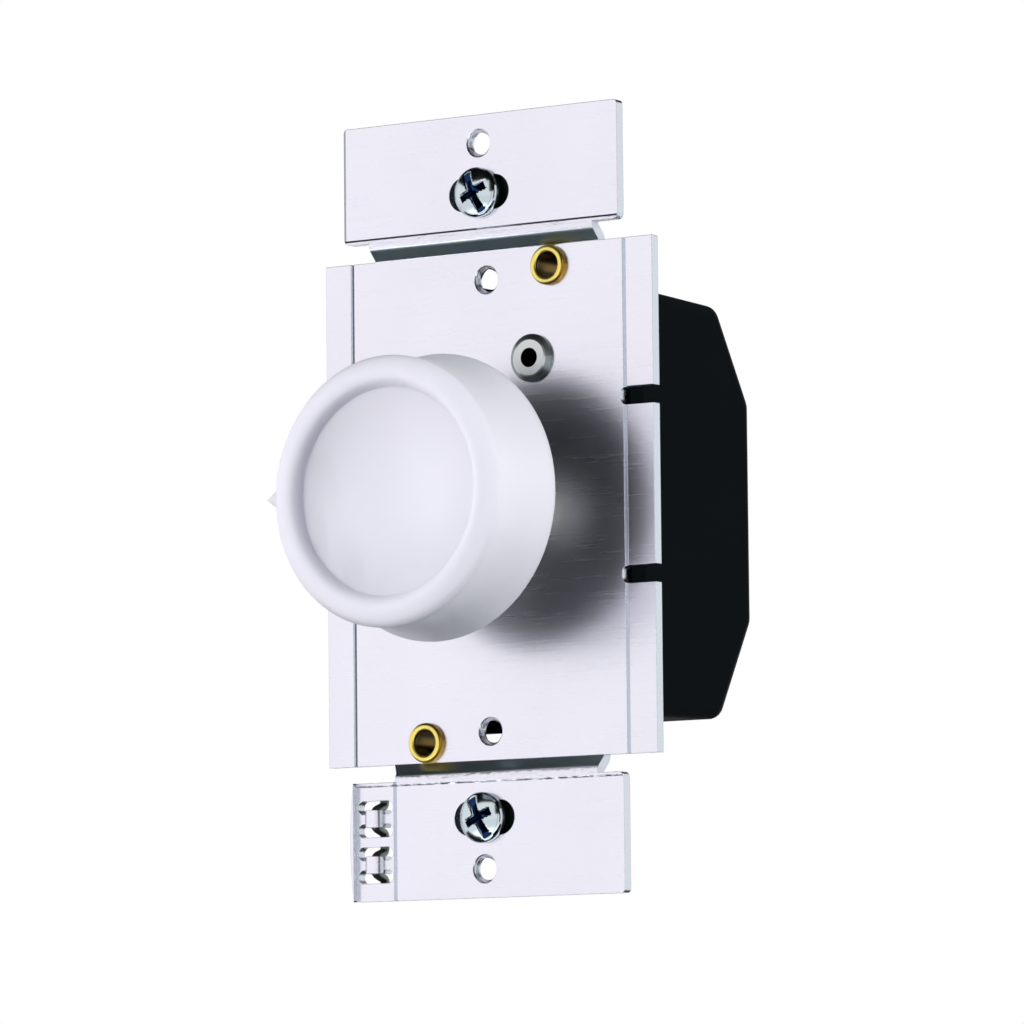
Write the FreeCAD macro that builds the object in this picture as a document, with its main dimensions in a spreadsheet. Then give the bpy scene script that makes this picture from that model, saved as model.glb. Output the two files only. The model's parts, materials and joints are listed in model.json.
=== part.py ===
import FreeCAD
import Part
import Sketcher

import math
import os
from types import SimpleNamespace

# Rotary dimmer switch for a single wall box, in millimetres.
# The origin is on the knob's axis, in the front face of the two mounting ears.
# -Y points out of the wall towards the user, +X to the user's right and +Z up.

Vector = FreeCAD.Vector

# Driving dimensions: name, value, what it is
DIMENSIONS = (
    ("box_screw_spacing", 83.34, "centre to centre of the two box screws"),
    ("decorator_step", 6.75, "box screw out to the wall plate hole in the ear"),
    ("ear_end", 3.83, "that hole to the end of the ear"),
    ("toggle_step", 11.505, "box screw in to the wall plate hole in the middle plate"),
    ("plate_end", 3.835, "that hole to the end of the middle plate"),
    ("sheet", 1.5, "yoke sheet thickness"),
    ("joggle", 1.6, "how far the middle plate lies behind the ears"),
    ("ear_width", 44.1, "across an ear"),
    ("ear_gap", 2.4, "end of the middle plate to the inner edge of an ear"),
    ("ear_top_round", 0.6, "outer corners of the ears"),
    ("ear_inner_round", 0.8, "inner corners of the ears"),
    ("plate_width", 52.6, "across the break-off tabs"),
    ("web_width", 36.0, "across the webs between plate and ears"),
    ("bend_inside", 0.3, "inner radius of the bends at the webs"),
    ("bend_outside", 1.4, "outer radius of the bends at the webs"),
    ("groove_line", 21.9, "knob axis to the break-off grooves"),
    ("groove_width", 0.55, "break-off grooves at the surface"),
    ("groove_depth", 0.45, "break-off grooves"),
    ("notch_height", 2.4, "notches that part the tabs"),
    ("notch_reach", 0.75, "how far a notch runs inside the groove line"),
    ("upper_notch", 13.05, "knob axis up to the upper notches"),
    ("lower_notch", 10.5, "knob axis down to the lower notches"),
    ("tapped_radius", 1.75, "holes for the wall plate screws"),
    ("tapped_mouth", 0.2, "countersink of those holes"),
    ("slot_length", 9.6, "box screw slots, end to end"),
    ("slot_height", 4.6, "box screw slots"),
    ("rivet_across", 7.3, "rivet, right of the knob axis"),
    ("rivet_inset", 14.9, "end of the middle plate to the rivet"),
    ("rivet_radius", 1.6, "rivet shank"),
    ("rivet_head_radius", 3.2, "rivet head"),
    ("rivet_head", 0.9, "rivet head height"),
    ("rivet_bore", 1.25, "hole that the pulled mandrel leaves"),
    ("rivet_bulb", 1.9, "rolled end of the rivet behind the triac tab"),
    ("eyelet_across", 10.15, "eyelets, left or right of the knob axis"),
    ("eyelet_inset", 2.7, "end of the middle plate to an eyelet"),
    ("eyelet_radius", 2.0, "eyelet barrel"),
    ("eyelet_bore", 1.7, "eyelet bore"),
    ("eyelet_flange_radius", 2.63, "rolled flange"),
    ("eyelet_flange", 0.95, "rolled flange height"),
    ("tab_line", 14.4, "knob axis to the groove of the ground wire tab"),
    ("tab_bend", 20.7, "knob axis to the tab's folded edge"),
    ("tab_lip", 0.8, "how far the folded edge stands forward"),
    ("tab_corner", 1.1, "web to the corner of the ground wire tab, along the plate"),
    ("tab_slot_inset", 3.3, "inner edge of the ear to the first tab slot"),
    ("tab_slot_pitch", 3.08, "tab slots"),
    ("tab_slot_height", 1.8, "tab slots"),
    ("tab_slot_length", 5.7, "tab slots"),
    ("tab_bow", 0.55, "how far the folded edge bows out"),
    ("loop_rise", 1.25, "how far the lanced loops stand forward"),
    ("loop_width", 3.0, "lanced loops"),
    ("loop_height", 2.3, "lanced loops, along the row of slots"),
    ("loop_wall", 0.6, "lanced loops, metal thickness"),
    ("ground_wire", 0.62, "radius of the bare end of the ground wire"),
    ("ground_bend", 0.68, "bends of that wire, to its middle"),
    ("ground_lean", 0.75, "a slanting stretch of that wire, along the row of slots"),
    ("ground_land", 0.32, "middle of a slot to the bend behind the sheet"),
    ("ground_tail", 2.4, "middle of an outer slot to the end of that wire"),
    ("knob_front_radius", 17.8, "front rim"),
    ("knob_rear_radius", 19.0, "open end"),
    ("knob_depth", 12.4, "front crest to open end"),
    ("knob_stand_off", 12.4, "open end to the plate's front face"),
    ("knob_wall", 1.7, "knob wall"),
    ("knob_rim", 1.3, "rounding of the front rim"),
    ("dish_radius", 13.8, "flat face in the dish"),
    ("dish_depth", 1.6, "rim crest down to the flat face"),
    ("dish_angle", 50.0, "degrees, slope of the ring round the face"),
    ("dish_round", 1.2, "roundings at the foot and the crest of that slope"),
    ("pointer_rise", 1.45, "pointer nub, proud of the rim"),
    ("pointer_width", 3.0, "pointer nub at its root"),
    ("knob_hub_radius", 5.4, "hub inside the knob"),
    ("knob_hub_length", 10.6, "hub, measured from the back of the face"),
    ("knob_rib", 1.1, "ribs between hub and wall"),
    ("knob_rib_depth", 5.0, "ribs, measured from the back of the face"),
    ("shaft_radius", 3.175, "quarter inch shaft"),
    ("shaft_flat", 2.3, "shaft axis to its flat"),
    ("running_gap", 0.05, "radial gap of a turning or sliding fit"),
    ("seat_gap", 0.1, "gap between parts that press or slide face to face"),
    ("press_gap", 0.02, "radial gap of parts fitted tight"),
    ("bushing_radius", 4.75, "three-eighths inch bushing"),
    ("bushing_reach", 6.6, "bushing, forward of the plate"),
    ("bushing_flange_radius", 6.5, "flange behind the plate"),
    ("bushing_flange", 1.2, "flange thickness"),
    ("nut_across", 12.7, "bushing nut across flats"),
    ("nut_thickness", 2.3, "bushing nut"),
    ("case_gap", 0.3, "rotor lug to the case wall"),
    ("case_depth", 7.8, "case of the variable resistor"),
    ("case_wall", 0.6, "case side"),
    ("case_front", 0.8, "case front"),
    ("wafer", 1.2, "wafer thickness"),
    ("wafer_tongue", 5.0, "half width of the wafer's tongue"),
    ("tongue_reach", 3.2, "case to the end of the tongue"),
    ("track", 0.12, "resistive track thickness"),
    ("track_inset", 0.4, "rim of the rotor to the outer edge of the track"),
    ("track_width", 2.4, "track"),
    ("turn_range", 300.0, "degrees between the stops"),
    ("collar_radius", 4.0, "shaft collar that stops it from pulling out"),
    ("collar", 0.8, "collar thickness"),
    ("push_travel", 2.0, "how far the knob pushes in"),
    ("rotor_radius", 10.2, "rotor disc"),
    ("rotor_disc", 1.6, "rotor disc thickness"),
    ("rotor_hub_radius", 5.6, "rotor hub"),
    ("rotor_hub", 3.3, "rotor hub length"),
    ("stop_reach", 0.9, "rotor lug and case stop, radial height"),
    ("cover", 1.2, "front wall of the push switch"),
    ("switch_depth", 8.6, "switch case behind its cover"),
    ("switch_wall", 1.2, "switch case walls"),
    ("stem_radius", 4.0, "plunger stem"),
    ("plunger_radius", 5.8, "plunger flange"),
    ("plunger_flange", 1.2, "plunger flange thickness"),
    ("spigot_radius", 1.9, "plunger spigot inside the spring"),
    ("spigot_length", 2.4, "plunger spigot"),
    ("bridge_end", 1.6, "a contact's middle to the end of the moving strip"),
    ("bridge_width", 6.6, "moving contact"),
    ("contact_strip", 0.5, "contact strip thickness"),
    ("contact_button", 0.5, "contact button height"),
    ("contact_radius", 1.3, "contact buttons"),
    ("contact_inset", 4.6, "outside of the switch to the middle of a contact"),
    ("terminal_reach", 2.2, "outside of the switch to the outside of a terminal"),
    ("terminal_width", 3.0, "switch terminals"),
    ("spring_radius", 2.9, "return spring, to the wire's centre"),
    ("spring_wire", 0.5, "return spring wire"),
    ("spring_turns", 4.0, "return spring"),
    ("board_side", 3.7, "outside of the housing to the side of the circuit board"),
    ("board_inset", 12.5, "end of the middle plate to the edge of the circuit board"),
    ("board", 1.6, "circuit board thickness"),
    ("triac_tab", 1.3, "triac tab thickness"),
    ("triac_width", 10.2, "triac"),
    ("triac_edge", 2.8, "rivet to the free end of the tab"),
    ("triac_tab_length", 6.6, "free end of the tab to the triac body"),
    ("triac_body_length", 9.2, "triac body"),
    ("triac_body", 3.2, "triac body, over its tab"),
    ("leg_pitch", 2.54, "triac legs"),
    ("leg_thickness", 0.5, "legs and terminals"),
    ("leg_width", 0.9, "triac legs"),
    ("leg_reach", 3.4, "triac body to the bend of its legs"),
    ("choke_radius", 6.5, "choke flanges"),
    ("choke_core_radius", 3.0, "choke core"),
    ("choke_flange", 1.2, "choke flanges"),
    ("choke_length", 13.0, "choke"),
    ("choke_side", 7.4, "side of the board to the choke"),
    ("choke_inset", 2.3, "edge of the board to the choke"),
    ("winding_radius", 6.0, "choke winding"),
    ("filter_length", 18.0, "filter capacitor"),
    ("filter_depth", 12.0, "filter capacitor"),
    ("filter_height", 8.6, "filter capacitor"),
    ("filter_across", 1.8, "filter capacitor, right of the shaft"),
    ("filter_inset", 3.3, "edge of the board to the filter capacitor"),
    ("timing_length", 10.0, "timing capacitor"),
    ("timing_depth", 9.0, "timing capacitor"),
    ("timing_height", 5.5, "timing capacitor"),
    ("timing_gap", 1.3, "timing capacitor to the timing resistor"),
    ("timing_inset", 1.5, "edge of the board to the timing capacitor"),
    ("diac_radius", 1.1, "diac"),
    ("diac_length", 4.0, "diac"),
    ("diac_inset", 7.1, "edge of the board to the diac"),
    ("resistor_radius", 1.25, "timing resistor"),
    ("resistor_length", 6.5, "timing resistor"),
    ("resistor_side", 1.8, "side of the board to the timing resistor"),
    ("resistor_inset", 6.0, "edge of the board to the timing resistor"),
    ("lead_wire", 0.35, "wire radius of small components"),
    ("lead_wire_reach", 1.3, "body to the bend of a component wire"),
    ("housing_width", 43.4, "housing at the plate"),
    ("housing_top_inset", 4.6, "end of the middle plate to the top of the housing"),
    ("housing_bottom_inset", 3.8, "end of the middle plate to the bottom of the housing"),
    ("housing_flange", 3.2, "housing flange thickness"),
    ("housing_step", 1.3, "flange, proud of the housing body"),
    ("board_room", 11.0, "back of the board to the back of the housing"),
    ("housing_wall", 1.6, "housing wall"),
    ("housing_draft", 1.6, "degrees of draft"),
    ("slope_depth", 8.2, "how far before the back the corners start to slope in"),
    ("back_half", 14.9, "half height of the flat back"),
    ("housing_round", 1.6, "rounded side edges"),
    ("slope_round", 2.6, "roundings where the back corners slope in"),
    ("lug_radius", 2.7, "lugs round the eyelets"),
    ("lead_bore", 1.7, "lead outlets in the back"),
    ("lead_across", 9.0, "lead outlets, left and right of the axis"),
    ("lead_collar", 3.0, "collar round a lead outlet"),
    ("lead_collar_rise", 1.2, "collar height inside the housing"),
    ("post_radius", 2.0, "posts under the board"),
    ("screw_radius", 1.75, "number six box screw"),
    ("screw_neck_radius", 1.4, "bare neck under the head, where the retainer sits"),
    ("screw_length", 25.4, "box screw under its head"),
    ("screw_head_radius", 3.35, "box screw head"),
    ("screw_head", 1.9, "box screw head height"),
    ("slot_width", 1.2, "driving slot"),
    ("slot_depth", 0.9, "driving slot"),
    ("cross_reach", 2.1, "arms of the cross recess, from the middle"),
    ("cross_width", 1.15, "arms of the cross recess"),
    ("cross_depth", 1.5, "cross recess at its arms"),
    ("cross_core", 0.85, "radius of the deep middle of the cross recess"),
    ("core_depth", 2.3, "middle of the cross recess"),
    ("recess_turn", 65.0, "degrees, how the driving slots came to rest"),
    ("retainer_half", 4.6, "half width of a screw retainer"),
    ("retainer", 0.8, "screw retainer thickness"),
)


class Size:
    """A dimension: its spreadsheet formula and its value, kept together."""

    def __init__(self, text, value):
        self.text = text
        self.value = float(value)

    def __add__(self, other):
        other = as_size(other)
        return Size(f"({self.text} + {other.text})", self.value + other.value)

    def __sub__(self, other):
        other = as_size(other)
        return Size(f"({self.text} - {other.text})", self.value - other.value)

    def __mul__(self, factor):
        factor = as_size(factor)
        return Size(f"({self.text} * {factor.text})", self.value * factor.value)

    def __truediv__(self, factor):
        factor = as_size(factor)
        return Size(f"({self.text} / {factor.text})", self.value / factor.value)

    def __neg__(self):
        return Size(f"(-1 * {self.text})", -self.value)

    __radd__ = __add__
    __rmul__ = __mul__


def as_size(number):
    """A plain number as a Size; a Size as it is."""
    if isinstance(number, Size):
        return number
    return Size(f"({number})" if number < 0 else str(number), number)


def sine(degrees):
    return Size(f"sin({degrees.text} * 1 deg)", math.sin(math.radians(degrees.value)))


def cosine(degrees):
    return Size(f"cos({degrees.text} * 1 deg)", math.cos(math.radians(degrees.value)))


def tangent(degrees):
    return Size(f"tan({degrees.text} * 1 deg)", math.tan(math.radians(degrees.value)))


def root(square):
    return Size(f"sqrt({square.text})", math.sqrt(square.value))


document = FreeCAD.newDocument("RotaryDimmer")
sheet = document.addObject("Spreadsheet::Sheet", "Sheet")
d = SimpleNamespace()
for row, (alias, amount, meaning) in enumerate(DIMENSIONS, start=1):
    sheet.set(f"A{row}", alias)
    sheet.set(f"B{row}", str(amount))
    sheet.set(f"C{row}", meaning)
    sheet.setAlias(f"B{row}", alias)
    setattr(d, alias, Size(f"Sheet.{alias}", amount))
document.recompute()

# Planes along the shaft, front to back
plate_back = d.joggle + d.sheet
plate_front = d.joggle
flange_back = plate_back + d.bushing_flange
wafer_front = flange_back + d.case_front
wafer_back = wafer_front + d.wafer
collar_front = wafer_front + d.seat_gap
collar_back = collar_front + d.collar
rotor_front = collar_back + d.push_travel + d.seat_gap
case_back = flange_back + d.case_depth
cover_back = case_back + d.cover
plunger_front = cover_back + d.seat_gap
bridge_front = plunger_front + d.plunger_flange
bridge_back = bridge_front + d.contact_strip
switch_back = cover_back + d.switch_depth
switch_floor = switch_back - d.switch_wall
fixed_button = bridge_back + d.contact_button + d.push_travel + d.seat_gap
fixed_strip = fixed_button + d.contact_button
board_front = switch_back
board_back = board_front + d.board
housing_back = board_back + d.board_room
slope_front = housing_back - d.slope_depth
stem_front = case_back + d.seat_gap * 3

# Distances from the shaft's axis, outwards
case_radius = d.rotor_radius + d.stop_reach + d.case_gap + d.case_wall
wafer_drop = case_radius + d.tongue_reach
track_outer = d.rotor_radius - d.track_inset
track_inner = track_outer - d.track_width
switch_half = case_radius
contact_across = switch_half - d.contact_inset
bridge_half = contact_across + d.bridge_end
terminal_across = switch_half + d.terminal_reach
board_half = d.housing_width / 2 - d.board_side
choke_across = board_half - d.choke_side
resistor_across = board_half - d.resistor_side
timing_across = resistor_across - d.resistor_radius - d.timing_gap - d.timing_length / 2

# Distances from the knob's axis, up or down
box_screw_up = d.box_screw_spacing / 2
decorator_up = box_screw_up + d.decorator_step
ear_top = decorator_up + d.ear_end
toggle_up = box_screw_up - d.toggle_step
plate_top = toggle_up + d.plate_end
ear_inner = plate_top + d.ear_gap
eyelet_up = plate_top - d.eyelet_inset
rivet_up = plate_top - d.rivet_inset
tab_slots = [-ear_inner - d.tab_slot_inset - d.tab_slot_pitch * count for count in range(4)]
tab_slot_across = (d.tab_slot_length + d.groove_depth) / 2 - d.tab_bend
housing_top = plate_top - d.housing_top_inset
housing_bottom = plate_top - d.housing_bottom_inset
board_top = plate_top - d.board_inset
choke_down = board_top - d.choke_inset
filter_up = board_top - d.filter_inset
timing_down = board_top - d.timing_inset
diac_down = board_top - d.diac_inset
resistor_down = board_top - d.resistor_inset


def bind(thing, path, size):
    """Tie a property to the sheet."""
    thing.setExpression(path, as_size(size).text)


def new_body(name):
    body = document.addObject("PartDesign::Body", name)
    body.Label = name
    return body


def new_sketch(body, role, height=0):
    """A sketch on one of the body's origin planes, moved along that plane's normal."""
    plane = [f for f in body.Origin.OriginFeatures if f.Role == role][0]
    sketch = body.newObject("Sketcher::SketchObject", body.Name + "_sketch")
    sketch.AttachmentSupport = (plane, [""])
    sketch.MapMode = "FlatFace"
    height = as_size(height)
    sketch.AttachmentOffset = FreeCAD.Placement(Vector(0, 0, height.value), FreeCAD.Rotation())
    bind(sketch, "AttachmentOffset.Base.z", height)
    return sketch


def facing(body, depth=0):
    """A sketch square to the shaft at a depth behind the ears: X across, Z up."""
    return new_sketch(body, "XZ_Plane", -as_size(depth))


def pin(sketch, edge, point, x, z):
    """Hold one point of an edge at x, z."""
    for kind, size, axis in (("DistanceX", as_size(x), -2), ("DistanceY", as_size(z), -1)):
        if size.value == 0:
            sketch.addConstraint(Sketcher.Constraint("PointOnObject", edge, point, axis))
            continue
        index = sketch.addConstraint(Sketcher.Constraint(kind, -1, 1, edge, point, size.value))
        sketch.setExpression(f"Constraints[{index}]", size.text)


def hold_radius(sketch, edge, radius):
    radius = as_size(radius)
    index = sketch.addConstraint(Sketcher.Constraint("Radius", edge, radius.value))
    sketch.setExpression(f"Constraints[{index}]", radius.text)


def outline(sketch, points, closed=True):
    """An outline, or an open path. A point is (x, z), or (x, z, radius, turn) for an arc that
    ends there; turn is 1 where the arc goes counter-clockwise and -1 where it goes clockwise."""
    spots = [Vector(as_size(p[0]).value, as_size(p[1]).value, 0) for p in points]
    first = sketch.GeometryCount
    steps = list(zip([spots[-1]] + spots[:-1], spots, points))
    if not closed:
        steps = steps[1:]
    last = len(steps) - 1
    ends = []
    for start, end, p in steps:
        if len(p) == 2:
            sketch.addGeometry(Part.LineSegment(start, end), False)
            ends.append((1, 2))
            continue
        radius, turn = as_size(p[2]).value, p[3]
        half = (end - start) * 0.5
        rise = math.sqrt(max(radius ** 2 - half.Length ** 2, 0))
        side = Vector(-half.y, half.x, 0).normalize() * turn
        centre = start + half + side * rise
        angles = [math.atan2(s.y - centre.y, s.x - centre.x) for s in (start, end)]
        circle = Part.Circle(centre, Vector(0, 0, 1), radius)
        if turn > 0:
            sketch.addGeometry(Part.ArcOfCircle(circle, angles[0], angles[1]), False)
            ends.append((1, 2))
        else:
            sketch.addGeometry(Part.ArcOfCircle(circle, angles[1], angles[0]), False)
            ends.append((2, 1))
    for i in range(len(steps) if closed else last):
        following = 0 if i == last else i + 1
        sketch.addConstraint(Sketcher.Constraint(
            "Coincident", first + i, ends[i][1], first + following, ends[following][0]))
    if not closed:
        pin(sketch, first, ends[0][0], points[0][0], points[0][1])
    for i, (start, end, p) in enumerate(steps):
        pin(sketch, first + i, ends[i][1], p[0], p[1])
        if len(p) > 2:
            hold_radius(sketch, first + i, p[2])


def rectangle(sketch, left, bottom, right, top):
    outline(sketch, [(left, bottom), (right, bottom), (right, top), (left, top)])


def rounded(sketch, left, bottom, right, top, r):
    """A rectangle whose corners are rounded by r."""
    left, bottom, right, top, r = (as_size(s) for s in (left, bottom, right, top, r))
    outline(sketch, [
        (right - r, bottom), (right, bottom + r, r, 1), (right, top - r),
        (right - r, top, r, 1), (left + r, top), (left, top - r, r, 1),
        (left, bottom + r), (left + r, bottom, r, 1)])


def disc(sketch, x, z, radius):
    radius = as_size(radius)
    centre = Vector(as_size(x).value, as_size(z).value, 0)
    edge = sketch.addGeometry(Part.Circle(centre, Vector(0, 0, 1), radius.value), False)
    pin(sketch, edge, 3, x, z)
    hold_radius(sketch, edge, radius)


def obround(sketch, x, z, length, height):
    """A slot with round ends, long way across."""
    x, z, length, height = (as_size(s) for s in (x, z, length, height))
    r = height / 2
    reach = length / 2 - r
    first = sketch.GeometryCount
    for side, start in ((1, -math.pi / 2), (-1, math.pi / 2)):
        centre = Vector(x.value + side * reach.value, z.value, 0)
        circle = Part.Circle(centre, Vector(0, 0, 1), r.value)
        sketch.addGeometry(Part.ArcOfCircle(circle, start, start + math.pi), False)
    right, left = first, first + 1
    ends = [(x.value + side * reach.value, z.value + level * r.value) for side, level in
            ((1, 1), (-1, 1), (-1, -1), (1, -1))]
    for a, b in ((0, 1), (2, 3)):
        sketch.addGeometry(Part.LineSegment(Vector(*ends[a], 0), Vector(*ends[b], 0)), False)
    top, bottom = first + 2, first + 3
    for pair in ((right, 2, top, 1), (top, 2, left, 1), (left, 2, bottom, 1), (bottom, 2, right, 1)):
        sketch.addConstraint(Sketcher.Constraint("Coincident", *pair))
    pin(sketch, right, 3, x + reach, z)
    pin(sketch, left, 3, x - reach, z)
    hold_radius(sketch, right, r)
    hold_radius(sketch, left, r)
    for edge in (right, left):
        sketch.addConstraint(Sketcher.Constraint("Vertical", edge, 3, edge, 1))
        sketch.addConstraint(Sketcher.Constraint("Vertical", edge, 3, edge, 2))


def pad(sketch, length, both_ways=False, back=True):
    """Push a sketch out: away from the user unless back is False, or half each way."""
    body = sketch.getParentGeoFeatureGroup()
    feature = body.newObject("PartDesign::Pad", body.Name + "_pad")
    feature.Profile = sketch
    feature.Midplane = both_ways
    feature.Reversed = back and not both_ways
    feature.Length = as_size(length).value
    bind(feature, "Length", length)
    return feature


def pocket(sketch, depth=None):
    """Cut a sketch to a depth away from the user, or right through both ways."""
    body = sketch.getParentGeoFeatureGroup()
    feature = body.newObject("PartDesign::Pocket", body.Name + "_pocket")
    feature.Profile = sketch
    if depth is None:
        feature.Type = "ThroughAll"
        feature.Midplane = True
    else:
        feature.Length = as_size(depth).value
        bind(feature, "Length", depth)
    return feature


def spin(body, profile):
    """Turn a half section, drawn as (radius, depth) points, round the Y axis."""
    sketch = new_sketch(body, "XY_Plane")
    outline(sketch, profile)
    feature = body.newObject("PartDesign::Revolution", body.Name + "_turned")
    feature.Profile = sketch
    feature.ReferenceAxis = (sketch, ["V_Axis"])
    feature.Angle = 360
    return feature


def place(body, x=0, y=0, z=0):
    """Stand a body at its place in the dimmer."""
    sizes = [as_size(s) for s in (x, y, z)]
    body.Placement = FreeCAD.Placement(Vector(*[s.value for s in sizes]), FreeCAD.Rotation())
    for letter, size in zip("xyz", sizes):
        bind(body, f"Placement.Base.{letter}", size)


def edges_where(feature, test):
    """Names of the edges whose middle point and length pass a test."""
    return [f"Edge{number}" for number, edge in enumerate(feature.Shape.Edges, start=1)
            if test(edge.CenterOfMass, edge)]


def soften(body, kind, test, size):
    """Round or bevel the chosen edges of the body's last feature."""
    document.recompute()
    base = body.Tip
    names = edges_where(base, test)
    feature = body.newObject(f"PartDesign::{kind}", f"{body.Name}_{kind.lower()}")
    feature.Base = (base, names)
    path = "Radius" if kind == "Fillet" else "Size"
    bind(feature, path, size)
    return feature


def box(name, x, y, z, length, depth, height):
    """A block from its lowest corner: across, along the shaft and up."""
    block = document.addObject("Part::Box", name)
    for path, size in (("Length", length), ("Width", depth), ("Height", height)):
        bind(block, path, size)
    place(block, x, y, z)
    return block


def rod(name, x, y, z, radius, length, toward=Vector(0, 1, 0)):
    """A cylinder that starts at a point and runs along a direction."""
    cylinder = document.addObject("Part::Cylinder", name)
    bind(cylinder, "Radius", radius)
    bind(cylinder, "Height", length)
    place(cylinder, x, y, z)
    cylinder.Placement = FreeCAD.Placement(
        cylinder.Placement.Base, FreeCAD.Rotation(Vector(0, 0, 1), toward))
    return cylinder


def join(name, pieces):
    """One solid from pieces that run into each other."""
    whole = document.addObject("Part::MultiFuse", name)
    whole.Shapes = pieces
    whole.Refine = True
    return whole


def group(name, pieces):
    """Like pieces that stay separate solids."""
    whole = document.addObject("Part::Compound", name)
    whole.Links = pieces
    return whole


# Sheet-metal yoke, which is also the heat sink

def joggle_profile(body, side):
    """The web and the middle strip of an ear, drawn from the side. The web leans at 45 degrees."""
    sketch = new_sketch(body, "YZ_Plane")
    half_bend = tangent(Size("22.5", 22.5))
    lag = d.sheet * half_bend
    foot, head = plate_top, plate_top + d.joggle
    inside, outside = d.bend_inside, d.bend_outside
    short, long = inside * half_bend, outside * half_bend
    slant = sine(Size("45", 45))
    profile = [
        (plate_front, foot - d.joggle), (plate_back, foot - d.joggle),
        (plate_back, foot + lag - long),
        (plate_back - long * slant, foot + lag + long * slant, outside, 1),
        (d.sheet + short * slant, head + lag - short * slant),
        (d.sheet, head + lag + short, inside, -1), (d.sheet, ear_top), (0, ear_top), (0, head + long),
        (long * slant, head - long * slant, outside, 1),
        (plate_front - short * slant, foot + short * slant), (plate_front, foot - short, inside, -1)]
    outline(sketch, [(p[0], p[1] * side, *p[2:3], *(turn * side for turn in p[3:])) for p in profile])
    return sketch


def heat_sink_yoke():
    body = new_body("heat_sink_yoke")
    half_plate = d.plate_width / 2
    half_ear = d.ear_width / 2
    top = ear_top
    sketch = facing(body, plate_front)
    rectangle(sketch, -half_plate, -plate_top, half_plate, plate_top)
    pad(sketch, d.sheet)
    for side in (1, -1):
        pad(joggle_profile(body, side), d.web_width, both_ways=True)
    inner, r, corner = ear_inner, d.ear_inner_round, d.ear_top_round
    sketch = facing(body)
    outline(sketch, [
        (half_ear - r, inner), (half_ear, inner + r, r, 1), (half_ear, top - corner),
        (half_ear - corner, top, corner, 1), (corner - half_ear, top),
        (-half_ear, top - corner, corner, 1), (-half_ear, inner + r), (r - half_ear, inner, r, 1)])
    outline(sketch, [
        (-d.tab_bend, -inner), (-d.tab_bend, -top), (half_ear - corner, -top),
        (half_ear, corner - top, corner, 1), (half_ear, -inner - r), (half_ear - r, -inner, r, 1)])
    pad(sketch, d.sheet)
    cut_yoke_holes(body)
    cut_break_off_tabs(body)
    shape_ground_tab(body)
    return body


def cut_yoke_holes(body):
    sketch = facing(body)
    disc(sketch, 0, 0, d.bushing_radius + d.seat_gap)
    disc(sketch, d.rivet_across, rivet_up, d.rivet_radius + d.press_gap)
    for side in (1, -1):
        obround(sketch, 0, box_screw_up * side, d.slot_length, d.slot_height)
        disc(sketch, d.eyelet_across * side, eyelet_up * side, d.eyelet_radius + d.press_gap)
        disc(sketch, 0, decorator_up * side, d.tapped_radius)
        disc(sketch, 0, toggle_up * side, d.tapped_radius)
    pocket(sketch)

    def is_mouth(middle, edge):
        front = abs(middle.y) < 0.01 or abs(middle.y - plate_front.value) < 0.01
        round_edge = isinstance(edge.Curve, Part.Circle)
        return front and round_edge and abs(edge.Curve.Radius - d.tapped_radius.value) < 0.001
    soften(body, "Chamfer", is_mouth, d.tapped_mouth)


def cut_break_off_tabs(body):
    """V grooves down both sides and two notches through each tab."""
    half = d.groove_width / 2
    sketch = new_sketch(body, "XY_Plane")
    for line in (d.groove_line, -d.groove_line):
        outline(sketch, [(line - half, plate_front), (line + half, plate_front),
                         (line, plate_front + d.groove_depth)])
    feature = pocket(sketch, plate_top * 2)
    feature.Midplane = True
    sketch = facing(body)
    reach = d.groove_line - d.notch_reach
    beyond = d.plate_width / 2 + d.sheet
    half = d.notch_height / 2
    for level in (d.upper_notch, -d.lower_notch):
        rounded(sketch, reach, level - half, beyond, level + half, d.notch_height * 0.4)
        rounded(sketch, -beyond, level - half, -reach, level + half, d.notch_height * 0.4)
    pocket(sketch)


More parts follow.
